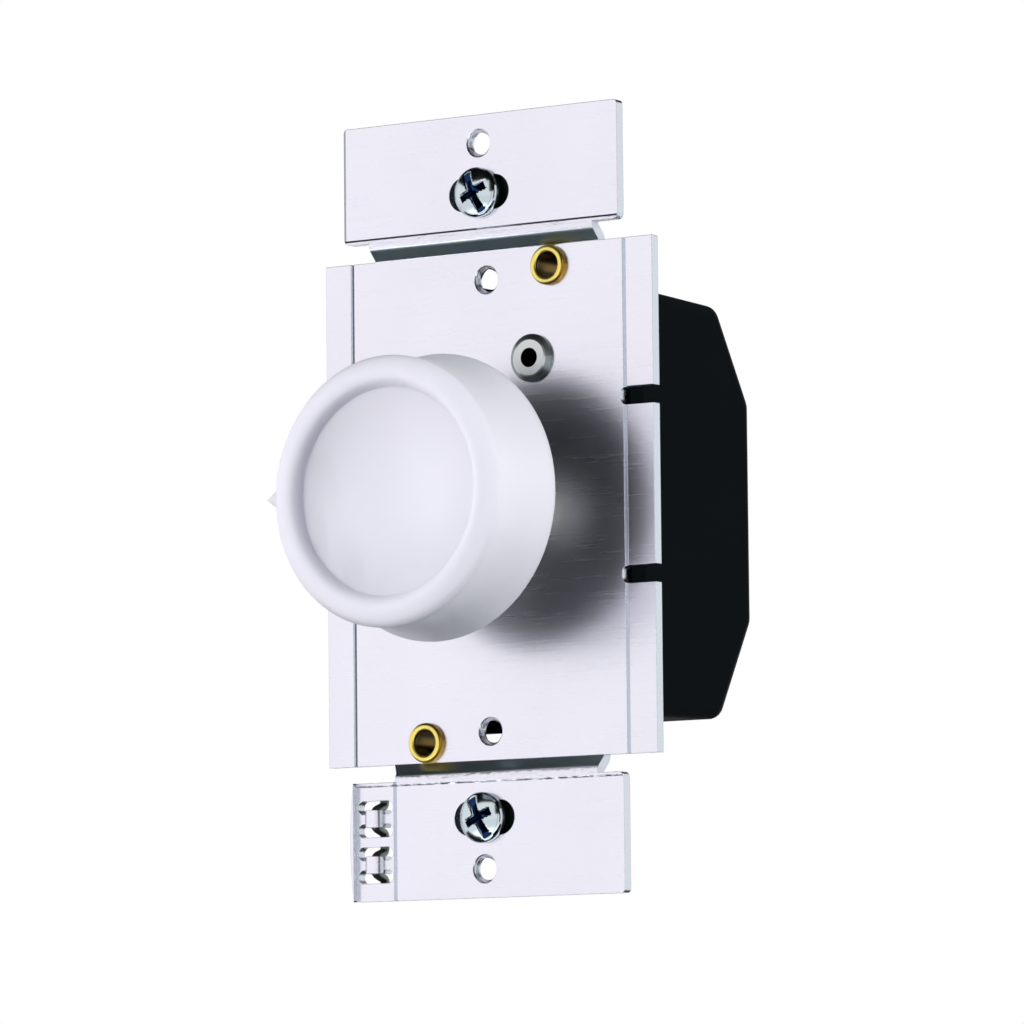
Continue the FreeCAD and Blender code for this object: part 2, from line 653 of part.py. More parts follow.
def shape_ground_tab(body):
    """The corner of the lower ear that is folded over a ground wire."""
    inner = -ear_inner
    foot = -ear_top
    half_ear = d.ear_width / 2
    fold = -d.tab_bend
    line = -d.tab_line
    plate_edge = -plate_top

    # gap between the tab, the web and the plate
    sketch = facing(body)
    outline(sketch, [
        (-half_ear, inner), (line, inner), (line, inner + d.tab_corner),
        (line - d.tab_corner, plate_edge), (-half_ear, plate_edge)])
    pocket(sketch)

    # folded outer edge, bowed
    bow = d.tab_bow
    chord = ear_top - ear_inner
    bow_radius = (chord * chord / 4 + bow * bow) / (bow * 2)
    sketch = facing(body, -d.tab_lip)
    outline(sketch, [(fold, inner, bow_radius, -1), (fold, foot)][::-1])
    pad(sketch, d.sheet + d.tab_lip)

    # groove between tab and ear
    half = d.groove_width / 2
    sketch = new_sketch(body, "XY_Plane", inner)
    outline(sketch, [(line - half, 0), (line + half, 0), (line, d.groove_depth)])
    pocket(sketch, chord)

    # slots, and the strips between them pressed forward into loops
    centre = tab_slot_across
    sketch = facing(body)
    for level in tab_slots:
        obround(sketch, centre, level, d.tab_slot_length, d.tab_slot_height)
    pocket(sketch)
    half = d.loop_width / 2
    throat = half - d.loop_wall
    crown = d.loop_rise - d.loop_wall
    outer_radius = (half * half + d.loop_rise * d.loop_rise) / (d.loop_rise * 2)
    inner_radius = (throat * throat + crown * crown) / (crown * 2)
    for slot in (tab_slots[0], tab_slots[2]):
        middle = slot - d.tab_slot_pitch / 2
        upper, lower = middle + d.loop_height / 2, middle - d.loop_height / 2
        sketch = facing(body)
        rectangle(sketch, centre - half, lower, centre + half, upper)
        pocket(sketch)
        sketch = new_sketch(body, "XY_Plane", lower)
        outline(sketch, [
            (centre - half, d.sheet), (centre - half, 0), (centre + half, 0, outer_radius, 1),
            (centre + half, d.sheet), (centre + throat, d.sheet), (centre + throat, 0),
            (centre - throat, 0, inner_radius, -1), (centre - throat, d.sheet)])
        pad(sketch, d.loop_height, back=False)


def ground_wire():
    """The bare end of the ground wire: behind the lands of the tab and forward through its loops."""
    body = new_body("ground_wire_end")
    behind = d.sheet + d.press_gap + d.ground_wire
    forward = d.loop_wall - d.loop_rise + d.press_gap + d.ground_wire
    lean, rise = d.ground_lean, behind - forward
    slant = root(lean * lean + rise * rise)
    tangent_length = d.ground_bend * (slant - lean) / rise
    along, inward = tangent_length * lean / slant, tangent_length * rise / slant
    top = tab_slots[0] + d.ground_tail
    path = [(behind, top)]
    for number, slot in enumerate(tab_slots):
        down = number % 2 == 0
        way = 1 if down else -1
        back_bend, front_bend = slot + d.ground_land * way, slot + (d.ground_land - lean) * way
        stretch = [
            (behind, back_bend + tangent_length * way), (behind - inward, back_bend - along * way),
            (forward + inward, front_bend + along * way), (forward, front_bend - tangent_length * way)]
        turns = (-1, 1)
        if not down:
            stretch.reverse()
            turns = (1, -1)
        path += [stretch[0], (*stretch[1], d.ground_bend, turns[0]), stretch[2],
                 (*stretch[3], d.ground_bend, turns[1])]
    path.append((behind, tab_slots[3] - d.ground_tail))
    spine = new_sketch(body, "YZ_Plane", tab_slot_across)
    outline(spine, path, closed=False)
    section = new_sketch(body, "XY_Plane", top)
    disc(section, tab_slot_across, behind, d.ground_wire)
    pipe = body.newObject("PartDesign::AdditivePipe", "ground_wire_pipe")
    pipe.Profile = section
    pipe.Spine = spine


# Fastenings of the yoke

def eyelet(name, side):
    body = new_body(name)
    bore, barrel, brim = d.eyelet_bore, d.eyelet_radius, d.eyelet_flange_radius
    crest = (bore + brim) / 2
    front = plate_front - d.eyelet_flange
    lug_back = plate_back + d.housing_flange
    roll = d.eyelet_flange * 0.75
    half = (brim - bore) / 2
    roll_radius = (half * half + roll * roll) / (roll * 2)
    spin(body, [
        (bore, lug_back + roll), (bore, front + roll), (crest, front, roll_radius, 1),
        (brim, front + roll, roll_radius, 1), (brim, plate_front), (barrel, plate_front),
        (barrel, lug_back), (brim, lug_back), (brim, lug_back + roll / 2)])
    place(body, d.eyelet_across * side, 0, eyelet_up * side)


def triac_rivet():
    body = new_body("triac_rivet")
    front = plate_front - d.rivet_head
    tab_back = plate_back + d.triac_tab
    head, shank, bore = d.rivet_head_radius, d.rivet_radius, d.rivet_bore
    edge = d.rivet_head * 0.45
    spin(body, [
        (bore, front), (head - edge * 2, front), (head, front + edge * 1.2), (head, plate_front),
        (shank, plate_front), (shank, tab_back), (d.rivet_bulb, tab_back + edge),
        (d.rivet_bulb, tab_back + d.rivet_bulb), (bore, tab_back + d.rivet_bulb + edge)])
    place(body, d.rivet_across, 0, rivet_up)


def box_screw(name, side):
    body = new_body(name)
    head, shank, neck = d.screw_head_radius, d.screw_radius, d.screw_neck_radius
    neck_end = d.sheet + d.retainer + d.seat_gap * 2
    crown = d.screw_head * 0.55
    dome = (head * head + crown * crown) / (crown * 2)
    spin(body, [
        (0, 0), (0, -d.screw_head), (head, crown - d.screw_head, dome, 1), (head, -d.press_gap),
        (head - d.press_gap, 0), (neck, 0), (neck, neck_end), (shank, neck_end + shank - neck),
        (shank, d.screw_length - shank / 2),
        (shank / 2, d.screw_length), (0, d.screw_length)])
    arm, reach = d.cross_width / 2, d.cross_reach
    for across, up, depth in (
            (head, d.slot_width / 2, d.slot_depth), (reach, arm, d.cross_depth), (arm, reach, d.cross_depth)):
        sketch = facing(body, -d.screw_head)
        rectangle(sketch, -across, -up, across, up)
        pocket(sketch, depth)
    sketch = facing(body, -d.screw_head)
    disc(sketch, 0, 0, d.cross_core)
    pocket(sketch, d.core_depth)
    place(body, 0, 0, box_screw_up * side)
    body.Placement.Rotation = FreeCAD.Rotation(Vector(0, 1, 0), d.recess_turn.value)
    bind(body, "Placement.Rotation.Angle", d.recess_turn)


def screw_retainer(name, side):
    body = new_body(name)
    half = d.retainer_half
    sketch = facing(body, d.sheet)
    rounded(sketch, -half, -half, half, half, d.retainer)
    disc(sketch, 0, 0, d.screw_neck_radius + d.press_gap)
    pad(sketch, d.retainer)
    place(body, 0, 0, box_screw_up * side)


# Knob and shaft

knob_front = plate_front - d.knob_stand_off - d.knob_depth
knob_rear = plate_front - d.knob_stand_off
face_front = knob_front + d.dish_depth
face_back = face_front + d.knob_wall


def flatted_circle(sketch, radius, flat):
    """The section of a shaft with one flat on top."""
    half = root(radius * radius - flat * flat)
    outline(sketch, [(-half, flat), (0, -radius, radius, 1), (half, flat, radius, 1)])


def knob():
    body = new_body("knob")
    slope = d.dish_angle
    fall = d.dish_round - d.dish_round * cosine(slope)
    run = d.dish_round * sine(slope)
    straight = (d.dish_depth - fall * 2) / tangent(slope)
    foot = d.dish_radius + run
    crest = foot + straight
    front, rear, wall, rim = d.knob_front_radius, d.knob_rear_radius, d.knob_wall, d.knob_rim
    spin(body, [
        (0, face_front), (d.dish_radius, face_front), (foot, face_front - fall, d.dish_round, -1),
        (crest, knob_front + fall), (crest + run, knob_front, d.dish_round, 1),
        (front - rim, knob_front), (front, knob_front + rim, rim, 1), (rear, knob_rear),
        (rear - wall, knob_rear), (front - wall, face_back + wall), (front - wall * 2, face_back),
        (0, face_back)])
    sketch = facing(body, knob_front + rim)
    half = d.pointer_width / 2
    root_line = -(front - rim / 2)
    outline(sketch, [(root_line, half), (root_line, -half), (-(front + d.pointer_rise), 0)])
    pad(sketch, d.knob_depth - rim)
    sketch = facing(body, face_back - wall / 2)
    disc(sketch, 0, 0, d.knob_hub_radius)
    pad(sketch, d.knob_hub_length + wall / 2)
    sketch = facing(body, face_back)
    flatted_circle(sketch, d.shaft_radius + d.press_gap, d.shaft_flat + d.press_gap)
    pocket(sketch, d.knob_hub_length * 2)
    sketch = facing(body, face_back - wall / 2)
    rectangle(sketch, d.knob_hub_radius - wall / 2, -d.knob_rib / 2, front - wall / 2, d.knob_rib / 2)
    rib = pad(sketch, d.knob_rib_depth + wall / 2)
    document.recompute()
    pattern = body.newObject("PartDesign::PolarPattern", "knob_ribs")
    pattern.Originals = [rib]
    axis = [f for f in body.Origin.OriginFeatures if f.Role == "Y_Axis"][0]
    pattern.Axis = (axis, [""])
    pattern.Angle = 360
    pattern.Occurrences = 6
    body.Tip = pattern


def control_shaft():
    body = new_body("control_shaft")
    r = d.shaft_radius
    front = face_back + d.seat_gap * 3
    rear = stem_front - d.seat_gap
    bevel = d.collar / 2
    spin(body, [
        (0, front), (r - bevel, front), (r, front + bevel), (r, collar_front),
        (d.collar_radius, collar_front), (d.collar_radius, collar_back), (r, collar_back),
        (r, rear), (0, rear)])
    for start, end in ((front, collar_front), (collar_back, rear)):
        sketch = facing(body, start)
        rectangle(sketch, -r, d.shaft_flat, r, r + d.collar)
        pocket(sketch, end - start)


def control_bushing():
    body = new_body("control_bushing")
    bore = d.shaft_radius + d.running_gap
    front = plate_front - d.bushing_reach
    bevel = d.bushing_flange / 3
    spin(body, [
        (bore, front), (d.bushing_radius - bevel, front), (d.bushing_radius, front + bevel),
        (d.bushing_radius, plate_back), (d.bushing_flange_radius, plate_back),
        (d.bushing_flange_radius, flange_back), (bore, flange_back)])


def bushing_nut():
    body = new_body("bushing_nut")
    flat = d.nut_across / 2
    corner = flat / cosine(Size("30", 30))
    sketch = facing(body, plate_front - d.nut_thickness)
    outline(sketch, [
        (corner, 0), (corner / 2, flat), (-corner / 2, flat),
        (-corner, 0), (-corner / 2, -flat), (corner / 2, -flat)])
    disc(sketch, 0, 0, d.bushing_radius + d.press_gap)
    pad(sketch, d.nut_thickness)


# Variable resistor

def stop_angle():
    """Half the angle that the rotor lug or the fixed stop takes, less half a degree."""
    return Size(f"(90 - {d.turn_range.text} / 4 - 0.5)", 90 - d.turn_range.value / 4 - 0.5)


def control_case():
    body = new_body("control_case")
    r, wall = case_radius, d.case_wall
    hole = d.shaft_radius + d.seat_gap * 4
    spin(body, [
        (hole, flange_back), (r - wall, flange_back), (r, flange_back + wall, wall, 1),
        (r, case_back), (r - wall, case_back), (r - wall, wafer_front), (hole, wafer_front)])
    sketch = facing(body, wafer_front)
    half = d.wafer_tongue + d.seat_gap
    rectangle(sketch, -half, -r - wall, half, -track_outer)
    pocket(sketch, case_back - wafer_front)


def resistor_wafer():
    body = new_body("resistor_wafer")
    sketch = facing(body, wafer_front)
    r = case_radius - d.case_wall - d.seat_gap
    disc(sketch, 0, 0, r)
    disc(sketch, 0, 0, d.collar_radius + d.seat_gap * 4)
    pad(sketch, d.wafer)
    sketch = facing(body, wafer_front)
    rectangle(sketch, -d.wafer_tongue, -wafer_drop, d.wafer_tongue, -track_outer)
    pad(sketch, d.wafer)


def resistive_track():
    body = new_body("resistive_track")
    sketch = facing(body, wafer_back)
    near, far = track_inner, track_outer
    lean = Size(f"({d.turn_range.text} / 2)", d.turn_range.value / 2)
    x, z = sine(lean), cosine(lean)
    outline(sketch, [
        (near * x, near * z), (far * x, far * z), (0, far, far, 1), (-(far * x), far * z, far, 1),
        (-(near * x), near * z), (0, near, near, -1), (near * x, near * z, near, -1)][1:])
    pad(sketch, d.track)


def wafer_terminals():
    pieces = []
    pitch = d.wafer_tongue * 0.64
    for count in (-1, 0, 1):
        name = f"wafer_terminal_{count + 2}"
        across = pitch * count
        wide, thick = d.leg_width, d.leg_thickness
        strip = box(name + "_strip", across - wide, wafer_back, -wafer_drop, wide * 2, thick, wide * 3)
        leg = box(name + "_leg", across - wide / 2, wafer_back, -wafer_drop, wide,
                  board_front - wafer_back, thick)
        pieces.append(join(name, [strip, leg]))
    group("wafer_terminals", pieces)


def wiper_rotor():
    body = new_body("wiper_rotor")
    sketch = facing(body, rotor_front)
    disc(sketch, 0, 0, d.rotor_radius)
    pad(sketch, d.rotor_disc)
    sketch = facing(body, rotor_front)
    disc(sketch, 0, 0, d.rotor_hub_radius)
    pad(sketch, d.rotor_hub)
    angle = stop_angle()
    x, z = cosine(angle), sine(angle)
    near, far = d.rotor_radius - d.stop_reach, d.rotor_radius + d.stop_reach
    sketch = facing(body, rotor_front)
    outline(sketch, [(-(near * x), near * z), (-(far * x), far * z), (-(far * x), -(far * z), far, 1),
                     (-(near * x), -(near * z))])
    pad(sketch, d.rotor_disc)
    sketch = facing(body, rotor_front)
    flatted_circle(sketch, d.shaft_radius + d.running_gap, d.shaft_flat + d.running_gap)
    pocket(sketch, d.rotor_hub)


def wiper_contact():
    """A spring-brass ring on the rotor with a finger that rides on the track."""
    body = new_body("wiper_contact")
    ring_front = rotor_front - d.leg_thickness * 0.6
    thick = d.leg_thickness * 0.6
    sketch = facing(body, ring_front)
    disc(sketch, 0, 0, track_outer - d.stop_reach)
    disc(sketch, 0, 0, d.collar_radius + d.stop_reach)
    pad(sketch, thick)
    touch = wafer_back + d.track + d.running_gap
    wide = track_outer - track_inner
    level = track_inner + wide / 8
    sketch = new_sketch(body, "XY_Plane", level - wide / 4)
    outline(sketch, [
        (0, ring_front + thick), (0, ring_front), (wide / 2, ring_front), (wide * 1.5, touch),
        (wide * 2, touch), (wide * 2, touch + thick), (wide * 1.6, touch + thick),
        (wide * 0.7, ring_front + thick)])
    pad(sketch, wide / 2, back=False)


# Push switch

def switch_cover():
    body = new_body("switch_cover")
    sketch = facing(body, case_back)
    rounded(sketch, -switch_half, -switch_half, switch_half, switch_half, d.switch_wall)
    disc(sketch, 0, 0, d.stem_radius + d.seat_gap * 2)
    pad(sketch, d.cover)
    angle = stop_angle()
    x, z = sine(angle), cosine(angle)
    near = d.rotor_radius + d.seat_gap * 2
    far = case_radius - d.case_wall - d.seat_gap
    sketch = facing(body, rotor_front)
    outline(sketch, [(-(near * x), -(near * z), near, -1), (-(far * x), -(far * z)),
                     (far * x, -(far * z), far, 1), (near * x, -(near * z))])
    pad(sketch, case_back - rotor_front)


def switch_case():
    body = new_body("switch_case")
    half, wall = switch_half, d.switch_wall
    sketch = facing(body, cover_back)
    rounded(sketch, -half, -half, half, half, wall)
    pad(sketch, d.switch_depth)
    sketch = facing(body, cover_back)
    rectangle(sketch, wall - half, wall - half, half - wall, half - wall)
    pocket(sketch, d.switch_depth - wall)
    sketch = new_sketch(body, "YZ_Plane")
    half_window = d.terminal_width / 2 + d.press_gap
    rectangle(sketch, fixed_strip - d.press_gap, -half_window,
              fixed_strip + d.contact_strip + d.press_gap, half_window)
    pocket(sketch)


def switch_plunger():
    body = new_body("switch_plunger")
    spigot_end = bridge_front + d.spigot_length
    spin(body, [
        (0, stem_front), (d.stem_radius, stem_front), (d.stem_radius, plunger_front),
        (d.plunger_radius, plunger_front), (d.plunger_radius, bridge_front),
        (d.spigot_radius, bridge_front), (d.spigot_radius, spigot_end), (0, spigot_end)])


def contact_bridge():
    body = new_body("contact_bridge")
    half = d.bridge_width / 2
    sketch = facing(body, bridge_front)
    rounded(sketch, -bridge_half, -half, bridge_half, half, d.contact_strip)
    disc(sketch, 0, 0, d.spigot_radius + d.press_gap)
    pad(sketch, d.contact_strip)
    sketch = facing(body, bridge_front)
    for side in (1, -1):
        disc(sketch, contact_across * side, 0, d.contact_radius)
    pad(sketch, d.contact_strip + d.contact_button)


def fixed_contact(name, side):
    """Button, strip out through the case wall and leg back to the board."""
    inside = contact_across - d.contact_radius
    button = rod(name + "_button", contact_across * side, fixed_button, 0,
                 d.contact_radius, d.contact_button + d.contact_strip / 2)
    half = d.terminal_width / 2
    left = inside if side > 0 else -terminal_across
    strip = box(name + "_strip", left, fixed_strip, -half,
                terminal_across - inside, d.contact_strip, d.terminal_width)
    left = terminal_across - d.contact_strip if side > 0 else -terminal_across
    leg = box(name + "_leg", left, fixed_strip, -half,
              d.contact_strip, board_front - fixed_strip, d.terminal_width)
    join(name, [button, strip, leg])


def return_spring():
    """A coil of six-sided wire, so that it stays light."""
    body = new_body("return_spring")
    wire = d.spring_wire / 2
    flat = wire * cosine(Size("30", 30))
    near, start, far = d.spring_radius - wire, bridge_back + flat, d.spring_radius + wire
    sketch = new_sketch(body, "XY_Plane")
    outline(sketch, [
        (far, start), (far - wire / 2, start + flat), (near + wire / 2, start + flat),
        (near, start), (near + wire / 2, start - flat), (far - wire / 2, start - flat)])
    coil = body.newObject("PartDesign::AdditiveHelix", "return_spring_coil")
    coil.Profile = sketch
    coil.ReferenceAxis = (sketch, ["V_Axis"])
    coil.Mode = "height-turns-growth"
    coil.Growth = 0
    bind(coil, "Height", switch_floor - bridge_back - flat * 2)
    bind(coil, "Turns", d.spring_turns)


# Circuit board and what it carries

def circuit_board():
    body = new_body("circuit_board")
    sketch = facing(body, board_front)
    rounded(sketch, -board_half, -board_top, board_half, board_top, d.board)
    pad(sketch, d.board)


def triac():
    edge = d.rivet_across + d.triac_edge
    body_right = edge - d.triac_tab_length
    body_left = body_right - d.triac_body_length
    low, high = rivet_up - d.triac_width / 2, rivet_up + d.triac_width / 2
    bevel = d.triac_tab
    tab = new_body("triac_tab")
    sketch = facing(tab, plate_back)
    outline(sketch, [(body_left, low), (edge - bevel, low), (edge, low + bevel),
                     (edge, high - bevel), (edge - bevel, high), (body_left, high)])
    disc(sketch, d.rivet_across, rivet_up, d.rivet_radius + d.press_gap)
    pad(sketch, d.triac_tab)
    case = new_body("triac_body")
    sketch = facing(case, plate_back + d.triac_tab)
    rectangle(sketch, body_left, low, body_right, high)
    pad(sketch, d.triac_body)
    soften(case, "Chamfer", lambda middle, edge: middle.y > plate_back.value + d.triac_tab.value + 1,
           d.leg_thickness)
    legs = []
    level = plate_back + d.triac_tab + d.triac_body / 3
    for count in (-1, 0, 1):
        name = f"triac_leg_{count + 2}"
        low = rivet_up + d.leg_pitch * count - d.leg_width / 2
        far = body_left - d.leg_reach
        strip = box(name + "_strip", far, level, low, d.leg_reach, d.leg_thickness, d.leg_width)
        pin_leg = box(name + "_pin", far, level, low, d.leg_thickness, board_front - level, d.leg_width)
        legs.append(join(name, [strip, pin_leg]))
    group("triac_legs", legs)


def choke():
    front = board_front - d.choke_length
    rear = board_front - d.choke_flange
    core = new_body("choke_core")
    spin(core, [
        (0, front), (d.choke_radius, front), (d.choke_radius, front + d.choke_flange),
        (d.choke_core_radius, front + d.choke_flange), (d.choke_core_radius, rear),
        (d.choke_radius, rear), (d.choke_radius, board_front), (0, board_front)])
    place(core, -choke_across, 0, -choke_down)
    winding = new_body("choke_winding")
    near = d.choke_core_radius + d.press_gap
    spin(winding, [
        (near, front + d.choke_flange + d.seat_gap), (d.winding_radius, front + d.choke_flange + d.seat_gap),
        (d.winding_radius, rear - d.seat_gap), (near, rear - d.seat_gap)])
    place(winding, -choke_across, 0, -choke_down)


def capacitor(name, across, up, length, depth, height, bevel):
    body = new_body(name)
    sketch = facing(body, board_front - depth)
    rounded(sketch, across - length / 2, up - height / 2, across + length / 2, up + height / 2, bevel)
    pad(sketch, depth)
    soften(body, "Fillet", lambda middle, edge: abs(middle.y - (board_front - depth).value) < 0.01, bevel / 2)


def wired_part(name, across, up, radius, length, upright):
    """A small cylinder on the board with a wire bent back from each end."""
    body = new_body(name)
    axis = board_front - radius - d.running_gap
    wire, bend = d.lead_wire, radius * 0.7
    reach = length / 2 + d.lead_wire_reach
    if upright:
        path = new_sketch(body, "YZ_Plane", across)
        spots = [(board_front, up - reach), (axis + bend, up - reach), (axis, up - reach + bend, bend, -1),
                 (axis, up + reach - bend), (axis + bend, up + reach, bend, -1), (board_front, up + reach)]
        ring = (across, up - reach)
    else:
        path = new_sketch(body, "XY_Plane", up)
        spots = [(across - reach, board_front), (across - reach, axis + bend),
                 (across - reach + bend, axis, bend, 1), (across + reach - bend, axis),
                 (across + reach, axis + bend, bend, 1), (across + reach, board_front)]
        ring = (across - reach, up)
    outline(path, spots, closed=False)
    section = facing(body, board_front)
    disc(section, *ring, wire)
    pipe = body.newObject("PartDesign::AdditivePipe", name + "_wire")
    pipe.Profile = section
    pipe.Spine = path
    if upright:
        sketch = new_sketch(body, "XY_Plane", up - length / 2)
        disc(sketch, across, axis, radius)
    else:
        sketch = new_sketch(body, "YZ_Plane", across - length / 2)
        disc(sketch, axis, up, radius)
    pad(sketch, length, back=False)


# Moulded back housing

def back_housing():
    body = new_body("back_housing")
    half = d.housing_width / 2
    wall, step = d.housing_wall, d.housing_step
    top, bottom = housing_top - step, step - housing_bottom
    slope = slope_front
    lean = tangent(d.housing_draft)
    drop = lean * (slope - plate_back)
    sketch = new_sketch(body, "YZ_Plane")
    outline(sketch, [
        (plate_back, bottom), (slope, bottom + drop), (housing_back, -d.back_half),
        (housing_back, d.back_half), (slope, top - drop), (plate_back, top)])
    pad(sketch, d.housing_width, both_ways=True)
    lean_in = lean * (housing_back - plate_back)
    narrow = half - wall - lean_in
    sketch = new_sketch(body, "XY_Plane")
    outline(sketch, [(half, plate_back), (half, housing_back), (half - lean_in, housing_back)])
    outline(sketch, [(-half, plate_back), (lean_in - half, housing_back), (-half, housing_back)])
    pocket(sketch)
    soften(body, "Fillet", lambda middle, edge: abs(middle.x) < 0.01 and middle.y > slope.value - 0.01,
           d.slope_round)
    soften(body, "Fillet", lambda middle, edge: abs(middle.x) > narrow.value
           and middle.y > plate_back.value + 1, d.housing_round)

    # flange along the plate, with lugs for the eyelets
    sketch = facing(body, plate_back)
    rectangle(sketch, -half, -housing_bottom, half, housing_top)
    pad(sketch, d.housing_flange)
    sketch = facing(body, plate_back)
    for side in (1, -1):
        across, up, r = d.eyelet_across * side, eyelet_up * side, d.lug_radius
        root_line = top if side > 0 else bottom
        outline(sketch, [
            (across + r, root_line), (across + r, up), (across, up + r * side, r, side),
            (across - r, up, r, side), (across - r, root_line)])
    pad(sketch, d.housing_flange)
    sketch = facing(body, plate_back)
    for side in (1, -1):
        disc(sketch, d.eyelet_across * side, eyelet_up * side, d.eyelet_radius + d.press_gap)
    pocket(sketch, d.housing_flange)

    # spot faces for the rolled ends of the eyelets
    sketch = facing(body, plate_back + d.housing_flange)
    for side in (1, -1):
        disc(sketch, d.eyelet_across * side, eyelet_up * side, d.eyelet_flange_radius + d.seat_gap)
    pocket(sketch, d.eyelet_flange)

    # blind clearance for the wall plate screws
    sketch = facing(body, plate_back)
    for side in (1, -1):
        disc(sketch, 0, toggle_up * side, d.tapped_radius + d.seat_gap * 3)
    pocket(sketch, d.housing_flange - wall / 2)

    # hollow, wide in front and narrower between the sloped corners
    inner = half - wall
    sketch = facing(body, plate_back)
    rectangle(sketch, -inner, bottom + wall, inner, top - wall)
    hollow = pocket(sketch, slope - plate_back - wall / 2)
    bind(hollow, "TaperAngle", -d.housing_draft)
    sketch = new_sketch(body, "YZ_Plane")
    setback = wall * 1.3
    outline(sketch, [
        (slope - wall, bottom + drop + setback), (slope - wall / 2, bottom + drop + setback),
        (housing_back - wall, setback / 2 - d.back_half), (housing_back - wall, d.back_half - setback / 2),
        (slope - wall / 2, top - drop - setback), (slope - wall, top - drop - setback)])
    deep = pocket(sketch, narrow * 2)
    deep.Midplane = True

    # posts under the board and collars round the lead outlets
    sketch = facing(body, board_back)
    for x in (1, -1):
        for z in (1, -1):
            disc(sketch, (board_half - d.post_radius * 1.6) * x,
                 (d.back_half - d.post_radius) * z, d.post_radius)
    pad(sketch, housing_back - wall / 2 - board_back)
    sketch = facing(body, housing_back - wall - d.lead_collar_rise)
    for side in (1, -1):
        disc(sketch, d.lead_across * side, 0, d.lead_collar)
    pad(sketch, d.lead_collar_rise + wall / 2)
    sketch = facing(body, board_back)
    for side in (1, -1):
        disc(sketch, d.lead_across * side, 0, d.lead_bore)
    pocket(sketch, d.board_room * 2)


heat_sink_yoke()
ground_wire()
back_housing()
eyelet("upper_eyelet", 1)
eyelet("lower_eyelet", -1)
triac_rivet()
box_screw("top_box_screw", 1)
box_screw("bottom_box_screw", -1)
screw_retainer("top_screw_retainer", 1)
screw_retainer("bottom_screw_retainer", -1)
knob()
control_shaft()
control_bushing()
bushing_nut()
control_case()
resistor_wafer()
resistive_track()
wafer_terminals()
wiper_rotor()
wiper_contact()
switch_cover()
switch_case()
switch_plunger()
contact_bridge()
fixed_contact("left_contact", -1)
fixed_contact("right_contact", 1)
return_spring()
circuit_board()
triac()
choke()
capacitor("filter_capacitor", d.filter_across, filter_up,
          d.filter_length, d.filter_depth, d.filter_height, d.leg_thickness)
capacitor("timing_capacitor", timing_across, -timing_down,
          d.timing_length, d.timing_depth, d.timing_height, d.timing_height / 3)
wired_part("diac", timing_across, -diac_down, d.diac_radius, d.diac_length, upright=False)
wired_part("timing_resistor", resistor_across, -resistor_down,
           d.resistor_radius, d.resistor_length, upright=True)

NODES = (
    "heat_sink_yoke", "ground_wire_end", "back_housing", "upper_eyelet", "lower_eyelet", "triac_rivet",
    "top_box_screw", "bottom_box_screw", "top_screw_retainer", "bottom_screw_retainer",
    "knob", "control_shaft", "control_bushing", "bushing_nut", "control_case",
    "resistor_wafer", "resistive_track", "wafer_terminals", "wiper_rotor", "wiper_contact",
    "switch_cover", "switch_case", "switch_plunger", "contact_bridge", "left_contact",
    "right_contact", "return_spring", "circuit_board", "triac_tab", "triac_body", "triac_legs",
    "choke_core", "choke_winding", "filter_capacitor", "timing_capacitor", "diac",
    "timing_resistor",
)

document.recompute()
for thing in document.Objects:
    if "Invalid" in thing.State or "Error" in thing.State:
        raise RuntimeError(f"{thing.Name} did not build: {thing.State}")
for name in NODES:
    shape = document.getObject(name).Shape
    if shape.isNull() or not shape.isValid():
        raise RuntimeError(f"{name} has no valid shape")

os.makedirs("parts", exist_ok=True)
for name in NODES:
    piece = document.getObject(name)
    piece.Shape.exportStep(f"parts/{piece.Label}.step")
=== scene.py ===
"""The looks of a wall-box rotary dimmer: finishes, fine threads and windings, light and camera."""

import json
import math

import bmesh
import bpy
from mathutils import Matrix, Vector


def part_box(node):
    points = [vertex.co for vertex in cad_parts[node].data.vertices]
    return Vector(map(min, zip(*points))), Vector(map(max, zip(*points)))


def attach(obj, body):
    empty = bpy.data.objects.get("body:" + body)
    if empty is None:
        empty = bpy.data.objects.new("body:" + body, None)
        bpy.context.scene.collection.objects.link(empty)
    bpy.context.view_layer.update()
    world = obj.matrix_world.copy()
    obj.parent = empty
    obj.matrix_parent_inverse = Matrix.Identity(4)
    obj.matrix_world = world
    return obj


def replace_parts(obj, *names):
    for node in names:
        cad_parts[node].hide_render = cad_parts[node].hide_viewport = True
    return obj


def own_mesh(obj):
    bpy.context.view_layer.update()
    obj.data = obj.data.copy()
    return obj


bl_info = {
    "name": "Rotary Dimmer Looks",
    "version": (1, 0, 0),
    "blender": (4, 5, 0),
    "location": "3D Viewport > Sidebar > Dimmer",
    "description": "Dresses the packed model of a rotary dimmer switch",
    "category": "Object",
}

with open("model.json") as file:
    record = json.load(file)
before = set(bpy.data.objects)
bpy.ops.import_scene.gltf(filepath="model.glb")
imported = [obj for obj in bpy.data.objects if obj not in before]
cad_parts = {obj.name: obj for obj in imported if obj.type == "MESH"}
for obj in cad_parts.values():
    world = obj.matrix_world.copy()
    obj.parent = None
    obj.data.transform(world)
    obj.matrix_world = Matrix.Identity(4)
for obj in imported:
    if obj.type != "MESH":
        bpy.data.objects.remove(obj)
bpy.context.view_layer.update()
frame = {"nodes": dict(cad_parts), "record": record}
NODES = frame["nodes"]
MOUNTS = {mount["name"]: mount for mount in frame["record"]["mounts"]}
MM = 0.001


def mount_size(name, key):
    """One of a mount's sizes, in metres."""
    return MOUNTS[name]["dims"][key] * MM


